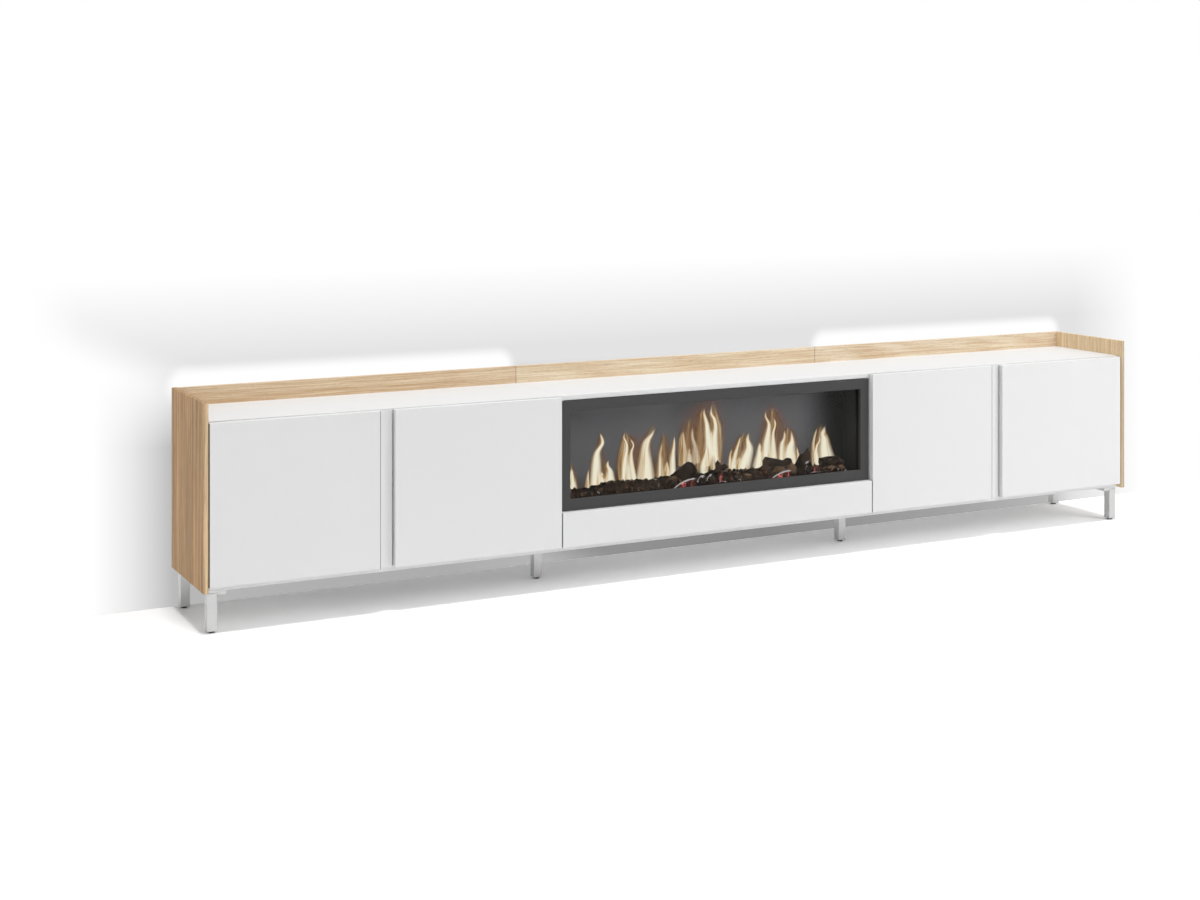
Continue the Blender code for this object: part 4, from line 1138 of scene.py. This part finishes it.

# %% [markdown]
# Hinge cups and links
#
# A concealed hinge has a cup let into the door and two flat links that fold into it. Closed, the links
# lie between cup and arm. Open, they reach round the corner. The solid model swings each door on one
# axis. Here the links are thin straight plates from the arm to the cup, and they ride on no body.

# %% Cups and links on each door
HINGE_HEIGHTS = (0.238, 0.525)
CUP_RADIUS = 17.5 * MM
PLATE_RISE = np.array([[0, 0, 0], [0, 0.35, 0], [0, 0.5, 0]]) * MM
PLATE_SIZES = [1, 1, 0.97]
DOORS = (
    # door, its hinge edge, the way from there to its middle, the gap from edge to arm (mm)
    ("door_1", -1.780, 1, 9.5),
    ("door_2", -0.617, -1, 19.5),
    ("door_3", 0.617, 1, 19.5),
    ("door_4", 1.780, -1, 9.5),
)
for door, edge, way, gap in DOORS:
    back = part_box(door)[1].y
    start = edge + way * gap * MM
    end = start + way * 13 * MM
    cups = []
    links = []
    for z in HINGE_HEIGHTS:
        path = np.array([end + way * 4 * MM, back, z]) + PLATE_RISE
        for shape in (outline(2 * CUP_RADIUS, 2 * CUP_RADIUS, 2, 32), outline(14 * MM, 58 * MM, 4, 32)):
            cups.append(carry(path, shape, X, Z, PLATE_SIZES))
        for z_link in (z - 10 * MM, z + 10 * MM):
            path = np.linspace((start, back + 3.6 * MM, z_link), (end, back + 3.6 * MM, z_link), 16)
            links.append(carry(path, outline(6 * MM, 1.6 * MM, 8), Y, Z))
    make_piece(door + "_hinge_cups", *join(cups), nickel, door, "hinge_nickel")
    link = make_piece(door + "_hinge_links", *join(links), nickel, None, "hinge_nickel")
    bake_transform(link)

parts = []
for name in ("flap_hinge_left", "flap_hinge_right"):
    low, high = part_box(name)
    path = np.array([(low.x + high.x) / 2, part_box("flap")[1].y, 162 * MM]) + PLATE_RISE
    parts.append(carry(path, outline(high.x - low.x, 30 * MM, 6, 32), X, Z, PLATE_SIZES))
make_piece("flap_hinge_plates", *join(parts), nickel, "flap", "hinge_nickel")

# %% [markdown]
# Shelf pins and the cable opening
#
# Each shelf lies on small plated pins pushed into rows of holes, and the cable opening behind the flap
# has a moulded rim, so that the sheet's cut edge can't chafe a lead.

# %% Pins and rim
parts = []
for name in ("shelf_left", "shelf_right"):
    low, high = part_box(name)
    for x, way in ((low.x, 1), (high.x, -1)):
        for y in (low.y + 45 * MM, high.y - 45 * MM):
            path = [(x + way * 0.5 * MM, y, low.z - 2.6 * MM), (x + way * 9 * MM, y, low.z - 2.6 * MM)]
            parts.append(carry(path, outline(5 * MM, 5 * MM), Y, Z))
make_piece("shelf_pins", *join(parts), nickel, "cabinet", "hinge_nickel")

RIM_HALF_WIDTH, RIM_HALF_HEIGHT = 118 * MM, 33 * MM
RIM_HEIGHT = 208 * MM
back_low, back_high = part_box("back_panel_centre")


def rim(half_width, half_height, count=96):
    """A loop of a soft rectangle (power 14) with a small rounded section: middle + loop (1 + a) + depth b."""
    loop = outline(2 * half_width, 2 * half_height, 14, count)
    section = outline(5 * MM, 5.4 * MM, 6, 12)
    x = loop[:, :1] * (1 + section[:, 0] / half_width)
    z = RIM_HEIGHT + loop[:, 1:] * (1 + section[:, 0] / half_height)
    y = (back_low.y + back_high.y) / 2 + section[:, 1] + 0 * x
    return np.stack([x, y, z], axis=-1), quads(count + 1, len(section))


make_piece("cable_rim", *rim(RIM_HALF_WIDTH, RIM_HALF_HEIGHT), nylon, "cabinet", "black_plastic")

# %% [markdown]
# Studio
#
# The unit stands on a plain white floor under a white sky, with one broad soft lamp from the front right,
# one from above and faint ones at both sides. Rays from the camera, and those that a shiny surface sends
# on, see the sky at full white. Other rays see a dimmer one, so that the shapes keep their shading. The
# floor does the same: the light that it throws on the unit comes from a white paint, and the camera sees
# that paint a little brighter, so that it meets the sky without a line and still holds the unit's shadow.
# What the camera sees of it is painted a little darker at the left, near the wall, as painted shade.
#
# Behind the unit stands a wall that nothing but the camera sees, and that shines by itself. It is white
# where nothing shades it. Its shade is painted from the place on it: a soft grey above the rail, a darker
# one beside and below the unit, and none round the strips of light, which show as a white glow over the
# two end rails. From behind, the wall is clear.

# %% Sky and floor
SKY = 0.31
FLOOR_GAIN = 1.36
FLOOR_PAINTED_SHADE = 0.24
FLOOR_REACH = 60.0
world = bpy.data.worlds.new("white_studio")
bpy.context.scene.world = world
world.use_nodes = True
tree = world.node_tree
background = tree.nodes["Background"]
background.inputs["Color"].default_value = linear("#FFFFFF")
path = add(tree, "LightPath").outputs
seen = sums(tree, "MAXIMUM", path["Is Camera Ray"], path["Is Glossy Ray"])
seen = sums(tree, "MAXIMUM", seen, path["Is Transmission Ray"])
feed(background, Strength=ramp(tree, seen, 0.0, 1.0, SKY, 1.0))

floor_paint, tree, shader = start_material("white_floor", Roughness=0.7, Specular_IOR_Level=0.1)
path = add(tree, "LightPath").outputs
place = split(tree, "XYZ", own_place(tree))
# painted shade: the floor's camera paint deepens towards the left and the back, near the wall
painted_floor_shade = times(tree, ramp(tree, place["X"], -0.2, -1.2, 0.0, FLOOR_PAINTED_SHADE), ramp(tree, place["Y"], -0.3, 0.1))
gain = sums(tree, "SUBTRACT", FLOOR_GAIN, painted_floor_shade)
feed(shader, Base_Color=mix(tree, path["Is Diffuse Ray"], gain, "#EEEEEE"))
corners = FLOOR_REACH * np.array([[-1, -1, 0], [-1, 1, 0], [1, -1, 0], [1, 1, 0]])
floor = make_piece("floor", corners, quads(2, 2), floor_paint, None, None, None, False)

# %% Wall
WALL_GAP = 8 * MM
WALL_LEFT, WALL_RIGHT = -2.04, 1.9
WALL_SHADES = (
    (-1.93, 0.17), (-1.866, 0.31), (-1.816, 0.44), (-1.79, 0.52), (-1.38, 0.565), (-0.85, 0.585),
    (-0.2, 0.485), (0.4, 0.515), (1.31, 0.4), (1.75, 0.3), (1.86, 0.05),
)
SHADE_ABOVE = 0.23
GLOW_MIDDLE, GLOW_HALF_LENGTH = 1.215, 0.54
GLOW_FADE = (30 * MM, 78 * MM)
wall_paint, tree, shader = start_material("white_wall", Roughness=0.9, Specular_IOR_Level=0.0)
shader.inputs["Base Color"].default_value = linear("#000000")
shader.inputs["Emission Color"].default_value = linear("#FFFFFF")
place = split(tree, "XYZ", own_place(tree))
x, z = place["X"], place["Z"]

slant = sums(tree, "MULTIPLY_ADD", x, 0.5, z)
above = times(
    tree,
    ramp(tree, z, 0.76, 1.04, SHADE_ABOVE, 0.0),
    ramp(tree, x, 1.9, 2.25, 1.0, 0.0),
    soft_step(tree, slant, -0.268, -0.088),
    ramp(tree, x, -2.24, -2.08),
)

beside = add(tree, "ValToRGB", None, {0: ramp(tree, x, WALL_LEFT, WALL_RIGHT)})
stops = beside.color_ramp.elements
stops[1].color = stops[0].color
for at, shade in WALL_SHADES:
    stops.new((at - WALL_LEFT) / (WALL_RIGHT - WALL_LEFT)).color = (shade, shade, shade, 1.0)
tilt = sums(tree, "MULTIPLY_ADD", x, 0.03, z)
beside = times(tree, beside.outputs[0], ramp(tree, tilt, 0.697, 0.45))

past_end = sums(tree, "SUBTRACT", sums(tree, "ABSOLUTE", x), GLOW_MIDDLE)
past_end = sums(tree, "SUBTRACT", sums(tree, "ABSOLUTE", past_end), GLOW_HALF_LENGTH)
past_end = sums(tree, "MAXIMUM", past_end, 0.0)
over_rail = sums(tree, "SUBTRACT", z, cad_box[1][2])
away = add(tree, "CombineXYZ", None, {0: past_end, 1: over_rail}).outputs[0]
away = add(tree, "VectorMath", {"operation": "LENGTH"}, {0: away}).outputs["Value"]
shade = times(tree, sums(tree, "ADD", above, beside), soft_step(tree, away, *GLOW_FADE))
feed(shader, Emission_Strength=sums(tree, "SUBTRACT", 1.0, shade))

behind = add(tree, "NewGeometry").outputs["Backfacing"]
clear = add(tree, "BsdfTransparent").outputs[0]
both = add(tree, "MixShader", None, {0: behind, 1: shader.outputs[0], 2: clear})
tree.links.new(both.outputs[0], tree.nodes["Material Output"].inputs["Surface"])
wall_y = cad_box[1][1] + WALL_GAP
right_edge = np.array([[FLOOR_REACH, wall_y, 0], [FLOOR_REACH, wall_y, FLOOR_REACH]])
corners = np.vstack([right_edge, right_edge * [-1, 1, 1]])
wall = make_piece("wall", corners, quads(2, 2), wall_paint, None, None, None, False)
wall.visible_diffuse = False
wall.visible_glossy = False
wall.visible_transmission = False
wall.visible_shadow = False


# %% Lamps
def hang(name, light):
    """Put a light in the scene."""
    lamp = bpy.data.objects.new(name, light)
    bpy.context.scene.collection.objects.link(lamp)
    print(name, round(light.energy, 2))
    return lamp


def sun(name, azimuth, elevation, strength, spread):
    """A lamp so far away that it lights everything alike. Azimuth is from -Y towards +X."""
    light = bpy.data.lights.new(name, "SUN")
    light.energy = strength
    light.angle = math.radians(spread)
    hang(name, light).rotation_euler = (math.radians(90 - elevation), 0, math.radians(azimuth))


def soft_box(name, place, aim, size, power):
    """A square flat lamp at a place, turned so that it faces another."""
    light = bpy.data.lights.new(name, "AREA")
    light.energy = power
    light.shape = "SQUARE"
    light.size = size
    lamp = hang(name, light)
    lamp.location = place
    lamp.rotation_euler = (mathutils.Vector(aim) - lamp.location).to_track_quat("-Z", "Y").to_euler()
    lamp.visible_camera = False


sun("broad_key", 34, 42, 0.5, 40)
sun("top_light", 0, 80, 1.72, 12)
sun("left_fill", -90, 10, 0.6, 20)
soft_box("right_soft_box", (3.2, -3.0, 2.0), (1.2, 0.0, 0.4), 1.6, 24)

# %% [markdown]
# Camera
#
# The picture was taken by a level camera whose frame sits low, as an architect's shift lens does, so
# that uprights stay parallel. Place, turn, focal length and shift come from edges measured in the photo.

# %% Level camera with a shifted frame
IMAGE_WIDTH, IMAGE_HEIGHT = 1200, 900
FOCAL_PIXELS = 1814.75
HORIZON_PIXEL = 134.09
SENSOR = 36.0
camera = bpy.data.objects.new("camera", bpy.data.cameras.new("camera"))
bpy.context.scene.collection.objects.link(camera)
camera.location = (-3.200, -5.5226, 1.4936)
camera.rotation_euler = (math.radians(90), 0, math.radians(-27.05))
camera.data.sensor_width = SENSOR
camera.data.lens = SENSOR * FOCAL_PIXELS / IMAGE_WIDTH
camera.data.shift_y = -(IMAGE_HEIGHT / 2 - HORIZON_PIXEL) / IMAGE_WIDTH
bpy.context.scene.camera = camera
bpy.context.scene.view_settings.view_transform = "Standard"
print("lens", round(camera.data.lens, 2), "mm, shift", round(camera.data.shift_y, 3))
